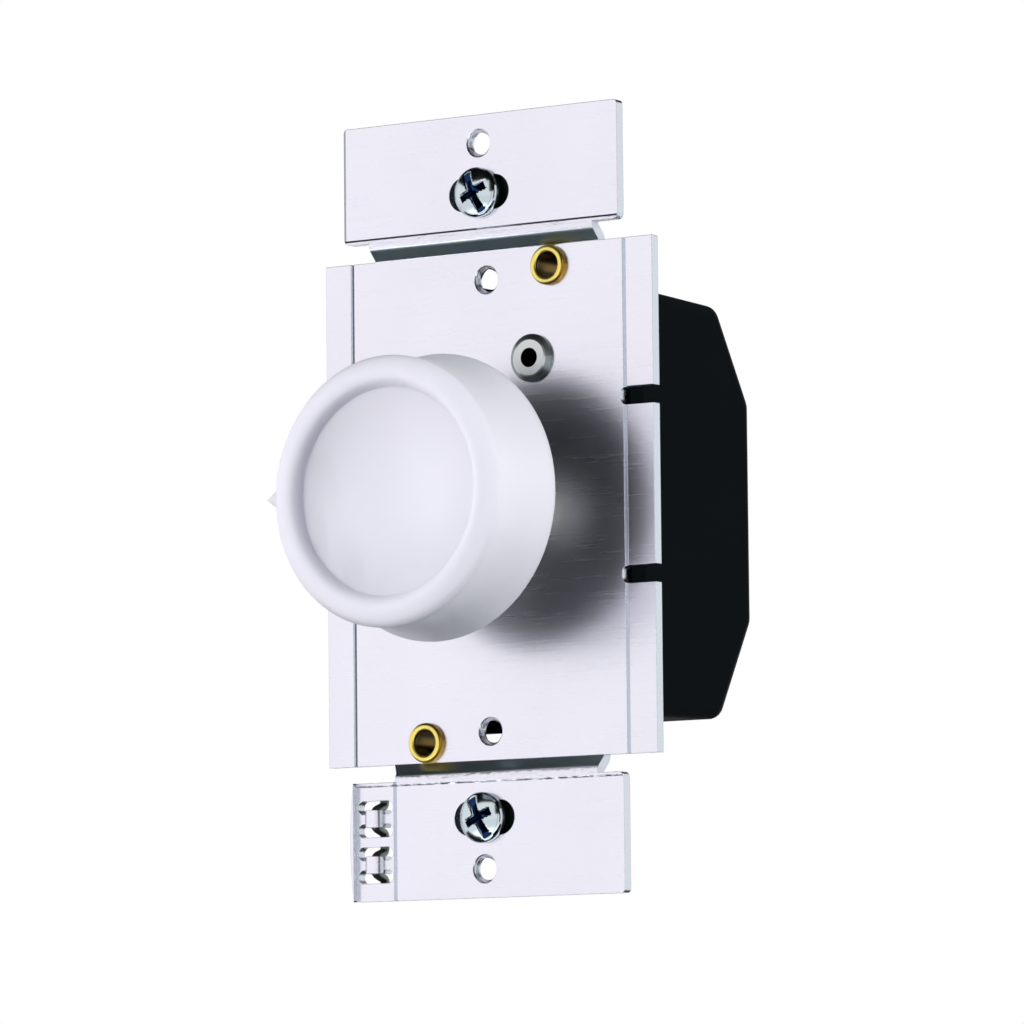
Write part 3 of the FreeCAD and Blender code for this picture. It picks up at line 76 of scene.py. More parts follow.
SCREW_RADIUS = mount_size("box_screws", "stud_r_mm")
HOLE_RADIUS = mount_size("decorator_plate_holes", "hole_r_mm")
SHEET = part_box("top_screw_retainer")[0][1]
PLATE_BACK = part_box("heat_sink_yoke")[1][1]
GROOVE_LINE = 21.9 * MM
WEB_INNER = 33.9 * MM
WEB_OUTER = 36.15 * MM
KNOB_HOLLOW_RADIUS = 17.3 * MM
KNOB_HOLLOW_END = -19.95 * MM


class DimmerFinishes(bpy.types.PropertyGroup):
    """Colours and sheen of the pieces that show."""

    aluminium: bpy.props.FloatVectorProperty(
        name="Bare aluminium", description="Colour of the yoke", subtype="COLOR",
        size=3, min=0, max=1, default=(0.87, 0.855, 0.95))
    aluminium_roughness: bpy.props.FloatProperty(
        name="Aluminium roughness", description="How blurred the yoke reflects",
        subtype="FACTOR", min=0, max=1, default=0.26)
    knob: bpy.props.FloatVectorProperty(
        name="Knob", description="Colour of the knob", subtype="COLOR",
        size=3, min=0, max=1, default=(0.83, 0.81, 0.915))
    knob_roughness: bpy.props.FloatProperty(
        name="Knob roughness", description="How blurred the knob reflects",
        subtype="FACTOR", min=0, max=1, default=0.36)
    housing: bpy.props.FloatVectorProperty(
        name="Housing", description="Colour of the back housing", subtype="COLOR",
        size=3, min=0, max=1, default=(0.002, 0.0035, 0.0045))
    brass: bpy.props.FloatVectorProperty(
        name="Brass", description="Colour of the eyelets", subtype="COLOR",
        size=3, min=0, max=1, default=(0.95, 0.76, 0.20))
    zinc: bpy.props.FloatVectorProperty(
        name="Zinc plate", description="Colour of the box screws", subtype="COLOR",
        size=3, min=0, max=1, default=(0.62, 0.70, 0.74))


class DimmerSizes(bpy.types.PropertyGroup):
    """Sizes of what is too fine for the solids."""

    thread_pitch: bpy.props.FloatProperty(
        name="Thread pitch", description="Thirty-two threads to the inch",
        subtype="DISTANCE", unit="LENGTH", default=25.4 / 32 * MM)
    thread_depth: bpy.props.FloatProperty(
        name="Thread depth", description="Crest to root of the screw thread",
        subtype="DISTANCE", unit="LENGTH", default=0.36 * MM)
    knob_waist: bpy.props.FloatProperty(
        name="Knob waist", description="How far the knob's side draws in between rim and skirt",
        subtype="DISTANCE", unit="LENGTH", default=0.55 * MM)
    spring_wire: bpy.props.FloatProperty(
        name="Spring wire", description="Wire of the return spring",
        subtype="DISTANCE", unit="LENGTH", default=0.5 * MM)
    spring_turns: bpy.props.FloatProperty(
        name="Spring turns", description="Turns of the return spring", default=4.0)
    winding_wire: bpy.props.FloatProperty(
        name="Choke wire", description="Outer diameter of the choke's wire",
        subtype="DISTANCE", unit="LENGTH", default=0.9 * MM)


class DimmerStudio(bpy.types.PropertyGroup):
    """Where the camera stands and how the light falls."""

    azimuth: bpy.props.FloatProperty(
        name="Azimuth", description="Camera, round the object from the front",
        subtype="ANGLE", unit="ROTATION", default=math.radians(34.049))
    elevation: bpy.props.FloatProperty(
        name="Elevation", description="Camera, above the horizon",
        subtype="ANGLE", unit="ROTATION", default=math.radians(-5.589))
    roll: bpy.props.FloatProperty(
        name="Roll", description="Camera, round its own axis",
        subtype="ANGLE", unit="ROTATION", default=math.radians(-0.547))
    distance: bpy.props.FloatProperty(
        name="Distance", description="Camera to the point it looks at",
        subtype="DISTANCE", unit="LENGTH", default=0.87449)
    aim: bpy.props.FloatVectorProperty(
        name="Aim", description="The point that the camera looks at",
        subtype="TRANSLATION", unit="LENGTH", size=3, default=(0.004863, 0, -0.001391))
    lens: bpy.props.FloatProperty(
        name="Lens", description="Focal length in millimetres on a 36 mm sensor",
        default=232.3)
    floor_drop: bpy.props.FloatProperty(
        name="Floor", description="How far the floor lies below the dimmer's axis",
        subtype="DISTANCE", unit="LENGTH", default=1.0)


# Shader groups

def group_tree(name, inputs, outputs):
    """An empty shader group with float, vector or colour sockets."""
    tree = bpy.data.node_groups.new(name, "ShaderNodeTree")
    for socket, kind, value in inputs:
        made = tree.interface.new_socket(socket, in_out="INPUT", socket_type=kind)
        made.default_value = value
    for socket, kind in outputs:
        tree.interface.new_socket(socket, in_out="OUTPUT", socket_type=kind)
    return tree, tree.nodes.new("NodeGroupInput"), tree.nodes.new("NodeGroupOutput")


def add(tree, kind, **settings):
    """A node with its properties, and its inputs by name or number."""
    node = tree.nodes.new(kind)
    for key, value in settings.pop("values", {}).items():
        node.inputs[key].default_value = value
    for key, value in settings.items():
        setattr(node, key, value)
    return node


def math_node(tree, operation, first, second):
    node = add(tree, "ShaderNodeMath", operation=operation)
    for socket, source in zip(node.inputs, (first, second)):
        if isinstance(source, (int, float)):
            socket.default_value = source
        else:
            tree.links.new(source, socket)
    return node.outputs[0]


def object_noise(tree, stretch, scale, detail=3.0, roughness=0.5):
    """Noise on object coordinates, stretched by a vector socket or value."""
    place = add(tree, "ShaderNodeTexCoord")
    mapping = add(tree, "ShaderNodeMapping")
    tree.links.new(place.outputs["Object"], mapping.inputs["Vector"])
    if hasattr(stretch, "is_output"):
        tree.links.new(stretch, mapping.inputs["Scale"])
    else:
        mapping.inputs["Scale"].default_value = stretch
    noise = add(tree, "ShaderNodeTexNoise", values={"Detail": detail, "Roughness": roughness})
    if hasattr(scale, "is_output"):
        tree.links.new(scale, noise.inputs["Scale"])
    else:
        noise.inputs["Scale"].default_value = scale
    tree.links.new(mapping.outputs["Vector"], noise.inputs["Vector"])
    return noise.outputs["Fac"]


def make_grain_group():
    """Long fine scratches along one axis, with the slow drift of rolled or drawn metal."""
    tree, given, out = group_tree(
        "drawn_grain",
        [("Stretch", "NodeSocketVector", (1, 1, 1)), ("Scale", "NodeSocketFloat", 900.0),
         ("Drift", "NodeSocketFloat", 40.0)],
        [("Scratches", "NodeSocketFloat"), ("Drift", "NodeSocketFloat")])
    fine = object_noise(tree, given.outputs["Stretch"], given.outputs["Scale"], 4.0, 0.65)
    slow = object_noise(tree, (1, 1, 1), given.outputs["Drift"], 2.0)
    tree.links.new(fine, out.inputs["Scratches"])
    tree.links.new(slow, out.inputs["Drift"])
    return tree


def make_moulded_group():
    """The faint stipple of a spark-eroded mould and the slow sink of a thick wall."""
    tree, given, out = group_tree(
        "moulded_skin",
        [("Stipple", "NodeSocketFloat", 2500.0), ("Sink", "NodeSocketFloat", 60.0)],
        [("Stipple", "NodeSocketFloat"), ("Sink", "NodeSocketFloat")])
    tree.links.new(object_noise(tree, (1, 1, 1), given.outputs["Stipple"], 2.0), out.inputs["Stipple"])
    tree.links.new(object_noise(tree, (1, 1, 1), given.outputs["Sink"], 1.0), out.inputs["Sink"])
    return tree


def make_tarnish_group():
    """A patchy mask for tarnish, fingerprints and plating that varies."""
    tree, given, out = group_tree(
        "tarnish", [("Scale", "NodeSocketFloat", 300.0), ("Cover", "NodeSocketFloat", 0.5)],
        [("Mask", "NodeSocketFloat")])
    patches = object_noise(tree, (1, 1, 1), given.outputs["Scale"], 5.0, 0.6)
    low = math_node(tree, "SUBTRACT", 1.0, given.outputs["Cover"])
    spread = math_node(tree, "SUBTRACT", patches, low)
    soft = math_node(tree, "MULTIPLY", spread, 4.0)
    clamp = add(tree, "ShaderNodeClamp")
    tree.links.new(soft, clamp.inputs["Value"])
    tree.links.new(clamp.outputs[0], out.inputs["Mask"])
    return tree


def make_bore_group():
    """A mask for the inside of a round bore, or of one placed point-mirrored to it."""
    tree, given, out = group_tree(
        "bore",
        [("Centre", "NodeSocketVector", (0, 0, 0)), ("Radius", "NodeSocketFloat", 1.0 * MM),
         ("Depth", "NodeSocketFloat", -1.0), ("Floor", "NodeSocketFloat", 1.0)],
        [("Mask", "NodeSocketFloat")])
    place = add(tree, "ShaderNodeTexCoord")
    folded = add(tree, "ShaderNodeVectorMath", operation="ABSOLUTE")
    tree.links.new(place.outputs["Object"], folded.inputs[0])
    offset = add(tree, "ShaderNodeVectorMath", operation="SUBTRACT")
    tree.links.new(folded.outputs[0], offset.inputs[0])
    tree.links.new(given.outputs["Centre"], offset.inputs[1])
    flat = add(tree, "ShaderNodeVectorMath", operation="MULTIPLY")
    tree.links.new(offset.outputs[0], flat.inputs[0])
    flat.inputs[1].default_value = (1, 0, 1)
    distance = add(tree, "ShaderNodeVectorMath", operation="LENGTH")
    tree.links.new(flat.outputs[0], distance.inputs[0])
    inside = math_node(tree, "LESS_THAN", distance.outputs["Value"], given.outputs["Radius"])
    axes = add(tree, "ShaderNodeSeparateXYZ")
    tree.links.new(place.outputs["Object"], axes.inputs[0])
    deep = math_node(
        tree, "MULTIPLY",
        math_node(tree, "GREATER_THAN", axes.outputs["Y"], given.outputs["Depth"]),
        math_node(tree, "LESS_THAN", axes.outputs["Y"], given.outputs["Floor"]))
    tree.links.new(math_node(tree, "MULTIPLY", inside, deep), out.inputs["Mask"])
    return tree


def make_bend_group():
    """A soft mask for the two bands where the sheet is bent, and the ripple it leaves there."""
    tree, given, out = group_tree(
        "bend", [("Low", "NodeSocketFloat", 34.0 * MM), ("High", "NodeSocketFloat", 37.0 * MM)],
        [("Mask", "NodeSocketFloat"), ("Ripple", "NodeSocketFloat")])
    place = add(tree, "ShaderNodeTexCoord")
    axes = add(tree, "ShaderNodeSeparateXYZ")
    tree.links.new(place.outputs["Object"], axes.inputs[0])
    height = math_node(tree, "ABSOLUTE", axes.outputs["Z"], 0.0)
    soft = 0.25 * MM
    rise = math_node(tree, "DIVIDE", math_node(tree, "SUBTRACT", height, given.outputs["Low"]), soft)
    fall = math_node(tree, "DIVIDE", math_node(tree, "SUBTRACT", given.outputs["High"], height), soft)
    both = add(tree, "ShaderNodeClamp")
    tree.links.new(math_node(tree, "MINIMUM", rise, fall), both.inputs["Value"])
    ripple = object_noise(tree, (0.6, 1, 1), 900.0, 3.0, 0.6)
    tree.links.new(both.outputs[0], out.inputs["Mask"])
    crest_start = math_node(tree, "SUBTRACT", given.outputs["High"], 1.3 * MM)
    crest = math_node(tree, "GREATER_THAN", height, crest_start)
    ripple = math_node(tree, "MULTIPLY", ripple, crest)
    tree.links.new(math_node(tree, "MULTIPLY", both.outputs[0], ripple), out.inputs["Ripple"])
    return tree


GROUPS = {}


def group_node(tree, name, **values):
    node = add(tree, "ShaderNodeGroup", node_tree=GROUPS[name])
    for key, value in values.items():
        node.inputs[key].default_value = value
    return node


def new_material(name, **sockets):
    """A material with one Principled BSDF, and plain numbers on its own sockets."""
    material = bpy.data.materials.new(name)
    material.use_nodes = True
    shader = material.node_tree.nodes["Principled BSDF"]
    for key, value in sockets.items():
        shader.inputs[key.replace("_", " ")].default_value = value
    return material, material.node_tree, shader


def shade(tree, fac, dark, light, socket):
    """Mix two colours by a mask into a colour socket."""
    mix = add(tree, "ShaderNodeMix", data_type="RGBA")
    mix.inputs[6].default_value = (*dark, 1)
    mix.inputs[7].default_value = (*light, 1)
    tree.links.new(fac, mix.inputs[0])
    tree.links.new(mix.outputs[2], socket)


def vary(tree, fac, low, high, socket):
    """Spread a mask between two values into a number socket."""
    spread = add(tree, "ShaderNodeMapRange", values={"To Min": low, "To Max": high})
    tree.links.new(fac, spread.inputs["Value"])
    tree.links.new(spread.outputs[0], socket)


def bump(tree, height, distance, shader, strength=1.0):
    node = add(tree, "ShaderNodeBump", values={"Strength": strength, "Distance": distance})
    tree.links.new(height, node.inputs["Height"])
    tree.links.new(node.outputs["Normal"], shader.inputs["Normal"])


def scaled(colour, factor):
    return tuple(min(channel * factor, 1.0) for channel in colour)


def metal(name, colour, roughness, stretch=(1, 1, 1), grain=900.0, depth=0.004 * MM, spread=0.06):
    """Drawn, rolled or plated metal."""
    material, tree, shader = new_material(name, Metallic=1.0)
    grain_node = group_node(tree, "drawn_grain", Stretch=stretch, Scale=grain)
    shade(tree, grain_node.outputs["Drift"], scaled(colour, 0.94), scaled(colour, 1.04),
          shader.inputs["Base Color"])
    vary(tree, grain_node.outputs["Scratches"], roughness - spread, roughness + spread,
         shader.inputs["Roughness"])
    bump(tree, grain_node.outputs["Scratches"], depth, shader)
    return material


def plastic(name, colour, roughness, specular=0.5, stipple=2500.0, depth=0.004 * MM, spread=0.05):
    """Moulded plastic, rubber-hard resin or lacquer."""
    material, tree, shader = new_material(name, Specular_IOR_Level=specular)
    skin = group_node(tree, "moulded_skin", Stipple=stipple)
    shade(tree, skin.outputs["Sink"], scaled(colour, 0.95), scaled(colour, 1.03),
          shader.inputs["Base Color"])
    vary(tree, skin.outputs["Sink"], roughness - spread, roughness + spread,
         shader.inputs["Roughness"])
    bump(tree, skin.outputs["Stipple"], depth, shader)
    return material


def translucent(material, weight, reach):
    """Let light spread inside the plastic, which softens its edges."""
    shader = material.node_tree.nodes["Principled BSDF"]
    shader.inputs["Subsurface Weight"].default_value = weight
    shader.inputs["Subsurface Radius"].default_value = (1.0, 1.0, 1.0)
    shader.inputs["Subsurface Scale"].default_value = reach
    return material


def tint(tree, shader, mask, colour):
    """Mix a colour over the shader's own, where the mask says."""
    mix = add(tree, "ShaderNodeMix", data_type="RGBA")
    mix.inputs[7].default_value = (*colour, 1)
    tree.links.new(shader.inputs["Base Color"].links[0].from_socket, mix.inputs[6])
    tree.links.new(mask, mix.inputs[0])
    tree.links.new(mix.outputs[2], shader.inputs["Base Color"])


def recoloured(material, colour, **place):
    """Give what lies within a radius another colour over the material's: the part's own colour in some
    places, painted shade in others.
    """
    tree = material.node_tree
    bore = group_node(tree, "bore", **place)
    tint(tree, tree.nodes["Principled BSDF"], bore.outputs["Mask"], colour)
    return material


def painted_back_sheen(material, low, high):
    """Painted sheen: the specular level rises from low to high as a face turns to look backward."""
    tree = material.node_tree
    shader = tree.nodes["Principled BSDF"]
    faces = add(tree, "ShaderNodeNewGeometry")
    axes = add(tree, "ShaderNodeSeparateXYZ")
    tree.links.new(faces.outputs["True Normal"], axes.inputs[0])
    vary(tree, axes.outputs["Y"], low, high, shader.inputs["Specular IOR Level"])
    return material


def bent_sheet(material, roughness):
    """Rolled sheet: rougher with a rippled skin where it is bent, and painted shade in three places:
    dark slate on the webs' up- and down-facing faces, a darker blue-grey on the edges that face plus X,
    and a dark line along the groove at minus 21.9 mm.
    """
    tree = material.node_tree
    shader = tree.nodes["Principled BSDF"]
    bend = group_node(tree, "bend")
    mix = add(tree, "ShaderNodeMix", data_type="FLOAT")
    mix.inputs[3].default_value = roughness
    tree.links.new(bend.outputs["Mask"], mix.inputs[0])
    tree.links.new(shader.inputs["Roughness"].links[0].from_socket, mix.inputs[2])
    tree.links.new(mix.outputs[0], shader.inputs["Roughness"])

    faces = add(tree, "ShaderNodeNewGeometry")
    facing = add(tree, "ShaderNodeSeparateXYZ")
    tree.links.new(faces.outputs["True Normal"], facing.inputs[0])
    steepness = math_node(tree, "ABSOLUTE", facing.outputs["Z"], 0.0)
    up_or_down = math_node(tree, "GREATER_THAN", steepness, 0.45)
    # Painted shade: the webs' faces that look up or down are painted dark slate-blue.
    painted_web_shade = group_node(tree, "bend", Low=WEB_INNER, High=WEB_OUTER)
    tint(tree, shader, math_node(tree, "MULTIPLY", painted_web_shade.outputs["Mask"], up_or_down), (0.34, 0.44, 0.48))
    # Painted shade: the sheet's edges that face plus X, and only those, are painted a darker blue-grey.
    plus_x_edge_shade = math_node(tree, "GREATER_THAN", facing.outputs["X"], 0.7)
    tint(tree, shader, math_node(tree, "MULTIPLY", plus_x_edge_shade, 0.75), (0.60, 0.67, 0.73))
    # Painted shade: a dark line is painted along the groove at minus 21.9 mm, and not along its twin at
    # plus 21.9 mm.
    place = add(tree, "ShaderNodeTexCoord")
    across = add(tree, "ShaderNodeSeparateXYZ")
    tree.links.new(place.outputs["Object"], across.inputs[0])
    from_line = math_node(tree, "ADD", across.outputs["X"], GROOVE_LINE)
    off_line = math_node(tree, "ABSOLUTE", from_line, 0.0)
    painted_groove_shade = math_node(tree, "LESS_THAN", off_line, 0.16 * MM)
    tint(tree, shader, math_node(tree, "MULTIPLY", painted_groove_shade, 0.8), (0.22, 0.26, 0.28))

    edge = add(tree, "ShaderNodeBevel", samples=8, values={"Radius": 0.13 * MM})
    ripple = add(tree, "ShaderNodeBump", values={"Strength": 1.0, "Distance": 0.28 * MM})
    tree.links.new(edge.outputs["Normal"], ripple.inputs["Normal"])
    tree.links.new(bend.outputs["Ripple"], ripple.inputs["Height"])
    grain = shader.inputs["Normal"].links[0].from_node
    tree.links.new(ripple.outputs["Normal"], grain.inputs["Normal"])
    return material


def node_axis(name):
    """Where a round node's axis stands, folded into the quarter of plus X and plus Z."""
    low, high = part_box(name)
    return (abs(low[0] + high[0]) / 2, 0, abs(low[2] + high[2]) / 2)


def tarnished(name, colour, dark, roughness):
    """Bright metal with patches of tarnish."""
    material, tree, shader = new_material(name, Metallic=1.0)
    mask = group_node(tree, "tarnish", Scale=450.0, Cover=0.42)
    shade(tree, mask.outputs["Mask"], colour, dark, shader.inputs["Base Color"])
    vary(tree, mask.outputs["Mask"], roughness, roughness + 0.2, shader.inputs["Roughness"])
    grain_node = group_node(tree, "drawn_grain", Stretch=(1, 0.2, 1), Scale=1500.0)
    bump(tree, grain_node.outputs["Scratches"], 0.003 * MM, shader)
    return material


def make_materials():
    """One material for each finish of the record."""
    look = bpy.context.scene.dimmer_finishes
    GROUPS["drawn_grain"] = make_grain_group()
    GROUPS["moulded_skin"] = make_moulded_group()
    GROUPS["tarnish"] = make_tarnish_group()
    GROUPS["bore"] = make_bore_group()
    GROUPS["bend"] = make_bend_group()
    along_x = (0.03, 1, 1)
    return {
        "bare_aluminium": bent_sheet(metal("bare_aluminium", look.aluminium, look.aluminium_roughness,
                                           along_x, 2600.0, 0.006 * MM), 0.34),
        # Painted sheen on the housing's backward-looking faces.
        "black_moulding": painted_back_sheen(
            plastic("black_moulding", look.housing, 0.6, 0.012, 1800.0, 0.01 * MM), 0.004, 0.28),
        # Eyelets: bright brass within 2.45 mm of the axis; outside it the darker tarnished brass, which
        # on the eyelet's outer edge is painted shade; within 1.75 mm dark brown, painted shade in the
        # bore.
        "brass": recoloured(
            recoloured(tarnished("brass", (0.45, 0.26, 0.035), (0.30, 0.16, 0.02), 0.3), look.brass,
                       Centre=node_axis("upper_eyelet"), Radius=2.45 * MM),
            (0.16, 0.10, 0.02), Centre=node_axis("upper_eyelet"), Radius=1.75 * MM),
        # Triac rivet: the head's aluminium colour within 2.6 mm of the axis; outside it a darker grey,
        # painted shade on the head's outer flank; within 1.3 mm near black, painted shade in the bore.
        "rivet_aluminium": recoloured(
            recoloured(metal("rivet_aluminium", (0.30, 0.34, 0.34), 0.32), (0.66, 0.69, 0.69),
                       Centre=node_axis("triac_rivet"), Radius=2.6 * MM),
            (0.006, 0.008, 0.006), Centre=node_axis("triac_rivet"), Radius=1.3 * MM),
        # Painted shade: near-black blue on the box screws' heads within 2.9 mm of the axis, between
        # depths of -1.15 and 0.45 mm.
        "zinc_steel": recoloured(metal("zinc_steel", look.zinc, 0.14, spread=0.05), (0.012, 0.03, 0.10),
                                 Centre=node_axis("top_box_screw"), Radius=2.9 * MM,
                                 Depth=-1.15 * MM, Floor=0.45 * MM),
        "fibre": plastic("fibre", (0.012, 0.02, 0.022), 0.4, 0.3, 900.0, 0.02 * MM),
        "stranded_copper": metal("stranded_copper", (0.16, 0.19, 0.17), 0.3),
        # Painted shade: the knob's hollow, within 17.3 mm of the axis and behind the back of its face,
        # is painted grey.
        "white_plastic": recoloured(
            translucent(plastic("white_plastic", look.knob, look.knob_roughness, 0.5), 0.6, 1.2 * MM),
            (0.30, 0.32, 0.33), Centre=(0, 0, 0), Radius=KNOB_HOLLOW_RADIUS,
            Depth=KNOB_HOLLOW_END),
        "shaft_nylon": plastic("shaft_nylon", (0.78, 0.76, 0.68), 0.4),
        "nickel_steel": metal("nickel_steel", (0.66, 0.64, 0.60), 0.25),
        "brown_laminate": plastic("brown_laminate", (0.22, 0.11, 0.045), 0.5),
        "carbon_ink": plastic("carbon_ink", (0.018, 0.018, 0.02), 0.6, 0.3),
        "tinned_copper": metal("tinned_copper", (0.72, 0.72, 0.70), 0.3),
        "spring_steel": metal("spring_steel", (0.50, 0.50, 0.52), 0.22),
        "fibreglass_board": plastic("fibreglass_board", (0.20, 0.26, 0.07), 0.45),
        "black_epoxy": plastic("black_epoxy", (0.02, 0.02, 0.022), 0.6),
        "ferrite": plastic("ferrite", (0.05, 0.05, 0.055), 0.7, 0.3, 1400.0, 0.02 * MM),
        "enamelled_wire": metal("enamelled_wire", (0.60, 0.22, 0.07), 0.2),
        "capacitor_coating": plastic("capacitor_coating", (0.42, 0.09, 0.03), 0.22),
        "resistor_coating": plastic("resistor_coating", (0.55, 0.42, 0.26), 0.4),
    }


MATERIALS = {}


class DIMMER_OT_finishes(bpy.types.Operator):
    """Give every solid of the model its finish"""

    bl_idname = "dimmer.finishes"
    bl_label = "Finishes"

    def execute(self, context):
        MATERIALS.update(make_materials())
        for part in frame["record"]["subparts"]:
            mesh = NODES[part["node"]].data
            mesh.materials.clear()
            mesh.materials.append(MATERIALS[part["material_slot"]])
        return {"FINISHED"}


# Threads and windings

def kite_profile(tree, given):
    """A ridge with half of it buried, so that it grows out of what it stands on."""
    kite = add(tree, "GeometryNodeCurvePrimitiveQuadrilateral", mode="KITE")
    width = math_node(tree, "MULTIPLY", given.outputs["Ridge"], 2.0)
    half = math_node(tree, "MULTIPLY", given.outputs["Pitch"], 0.44)
    tree.links.new(width, kite.inputs["Width"])
    tree.links.new(half, kite.inputs["Bottom Height"])
    tree.links.new(half, kite.inputs["Top Height"])
    return kite.outputs["Curve"]


def wire_profile(tree, given):
    """A round wire that touches the next turn."""
    circle = add(tree, "GeometryNodeCurvePrimitiveCircle", values={"Resolution": 12})
    tree.links.new(given.outputs["Ridge"], circle.inputs["Radius"])
    return circle.outputs["Curve"]


def make_helix_tree(name, profile):
    """Right-handed turns along Y, copied to every point of the mesh that carries the modifier."""
    tree = bpy.data.node_groups.new(name, "GeometryNodeTree")
    for socket, kind in (("Places", "NodeSocketGeometry"), ("Radius", "NodeSocketFloat"),
                         ("Pitch", "NodeSocketFloat"), ("Turns", "NodeSocketFloat"),
                         ("Ridge", "NodeSocketFloat"), ("Finish", "NodeSocketMaterial")):
        tree.interface.new_socket(socket, in_out="INPUT", socket_type=kind)
    tree.interface.new_socket("Turned", in_out="OUTPUT", socket_type="NodeSocketGeometry")
    given, out = tree.nodes.new("NodeGroupInput"), tree.nodes.new("NodeGroupOutput")
    spiral = add(tree, "GeometryNodeCurveSpiral", values={"Resolution": 36})
    tree.links.new(given.outputs["Turns"], spiral.inputs["Rotations"])
    tree.links.new(given.outputs["Radius"], spiral.inputs["Start Radius"])
    tree.links.new(given.outputs["Radius"], spiral.inputs["End Radius"])
    height = math_node(tree, "MULTIPLY", given.outputs["Turns"], given.outputs["Pitch"])
    tree.links.new(height, spiral.inputs["Height"])
    upright = add(tree, "GeometryNodeSetCurveNormal", mode="Z_UP")
    tree.links.new(spiral.outputs["Curve"], upright.inputs["Curve"])
    along = add(tree, "GeometryNodeSplineParameter")
    near = math_node(tree, "MINIMUM", along.outputs["Factor"],
                     math_node(tree, "SUBTRACT", 1.0, along.outputs["Factor"]))
    runout = math_node(tree, "MULTIPLY", math_node(tree, "MULTIPLY", near, given.outputs["Turns"]), 6.0)
    grown = math_node(tree, "MINIMUM", math_node(tree, "MAXIMUM", runout, 0.25), 1.0)
    sweep = add(tree, "GeometryNodeCurveToMesh", values={"Fill Caps": True})
    tree.links.new(upright.outputs["Curve"], sweep.inputs["Curve"])
    tree.links.new(profile(tree, given), sweep.inputs["Profile Curve"])
    tree.links.new(grown, sweep.inputs["Scale"])
    lay = add(tree, "GeometryNodeTransform", values={"Rotation": (-math.pi / 2, 0, 0)})
    tree.links.new(sweep.outputs["Mesh"], lay.inputs["Geometry"])
    copies = add(tree, "GeometryNodeInstanceOnPoints")
    tree.links.new(given.outputs["Places"], copies.inputs["Points"])
    tree.links.new(lay.outputs["Geometry"], copies.inputs["Instance"])
    real = add(tree, "GeometryNodeRealizeInstances")
    tree.links.new(copies.outputs["Instances"], real.inputs["Geometry"])
    finish = add(tree, "GeometryNodeSetMaterial")
    tree.links.new(real.outputs["Geometry"], finish.inputs["Geometry"])
    tree.links.new(given.outputs["Finish"], finish.inputs["Material"])
    tree.links.new(finish.outputs["Geometry"], out.inputs["Turned"])
    return tree


def turns_mesh(tree, places, finish, **sizes):
    """A plain mesh of the tree's turns at the given places."""
    carrier_mesh = bpy.data.meshes.new("places")
    carrier_mesh.from_pydata(places, [], [])
    carrier = bpy.data.objects.new("places", carrier_mesh)
    bpy.context.scene.collection.objects.link(carrier)
    modifier = carrier.modifiers.new("turns", "NODES")
    modifier.node_group = tree
    sizes["Finish"] = finish
    for socket in tree.interface.items_tree:
        if socket.in_out == "INPUT" and socket.name in sizes:
            modifier[socket.identifier] = sizes[socket.name]
    shown = carrier.evaluated_get(bpy.context.evaluated_depsgraph_get())
    mesh = bpy.data.meshes.new_from_object(shown)
    bpy.data.objects.remove(carrier)
    bpy.data.meshes.remove(carrier_mesh)
    return mesh


def new_piece(name, meshes, finish, body):
    """One object of several meshes, all of one finish, with its normals outward."""
    solid = bmesh.new()
    for mesh in meshes:
        solid.from_mesh(mesh)
    bmesh.ops.recalc_face_normals(solid, faces=solid.faces)
    joined = bpy.data.meshes.new(name)
    solid.to_mesh(joined)
    solid.free()
    joined.materials.append(MATERIALS[finish])
    joined.polygons.foreach_set("material_index", [0] * len(joined.polygons))
    joined.shade_smooth()
    joined.set_sharp_from_angle(angle=math.radians(38))
    piece = bpy.data.objects.new(name, joined)
    bpy.context.scene.collection.objects.link(piece)
    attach(piece, body)
    return piece


def screw_core(name, core_radius):
    """A screw of the model with its shank turned down to the thread's root."""
    low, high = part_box(name)
    axis = Vector(((low[0] + high[0]) / 2, 0, (low[2] + high[2]) / 2))
    shank = bmesh.new()
    shank.from_mesh(NODES[name].data)
    bmesh.ops.remove_doubles(shank, verts=shank.verts, dist=1e-6)
    for vertex in shank.verts:
        out = Vector((vertex.co.x, 0, vertex.co.z)) - axis
        if vertex.co.y > SHEET and out.length > core_radius:
            out.length = core_radius
            vertex.co.x, vertex.co.z = axis.x + out.x, axis.z + out.z
    mesh = bpy.data.meshes.new(name + "_core")
    shank.to_mesh(mesh)
    shank.free()
    return mesh


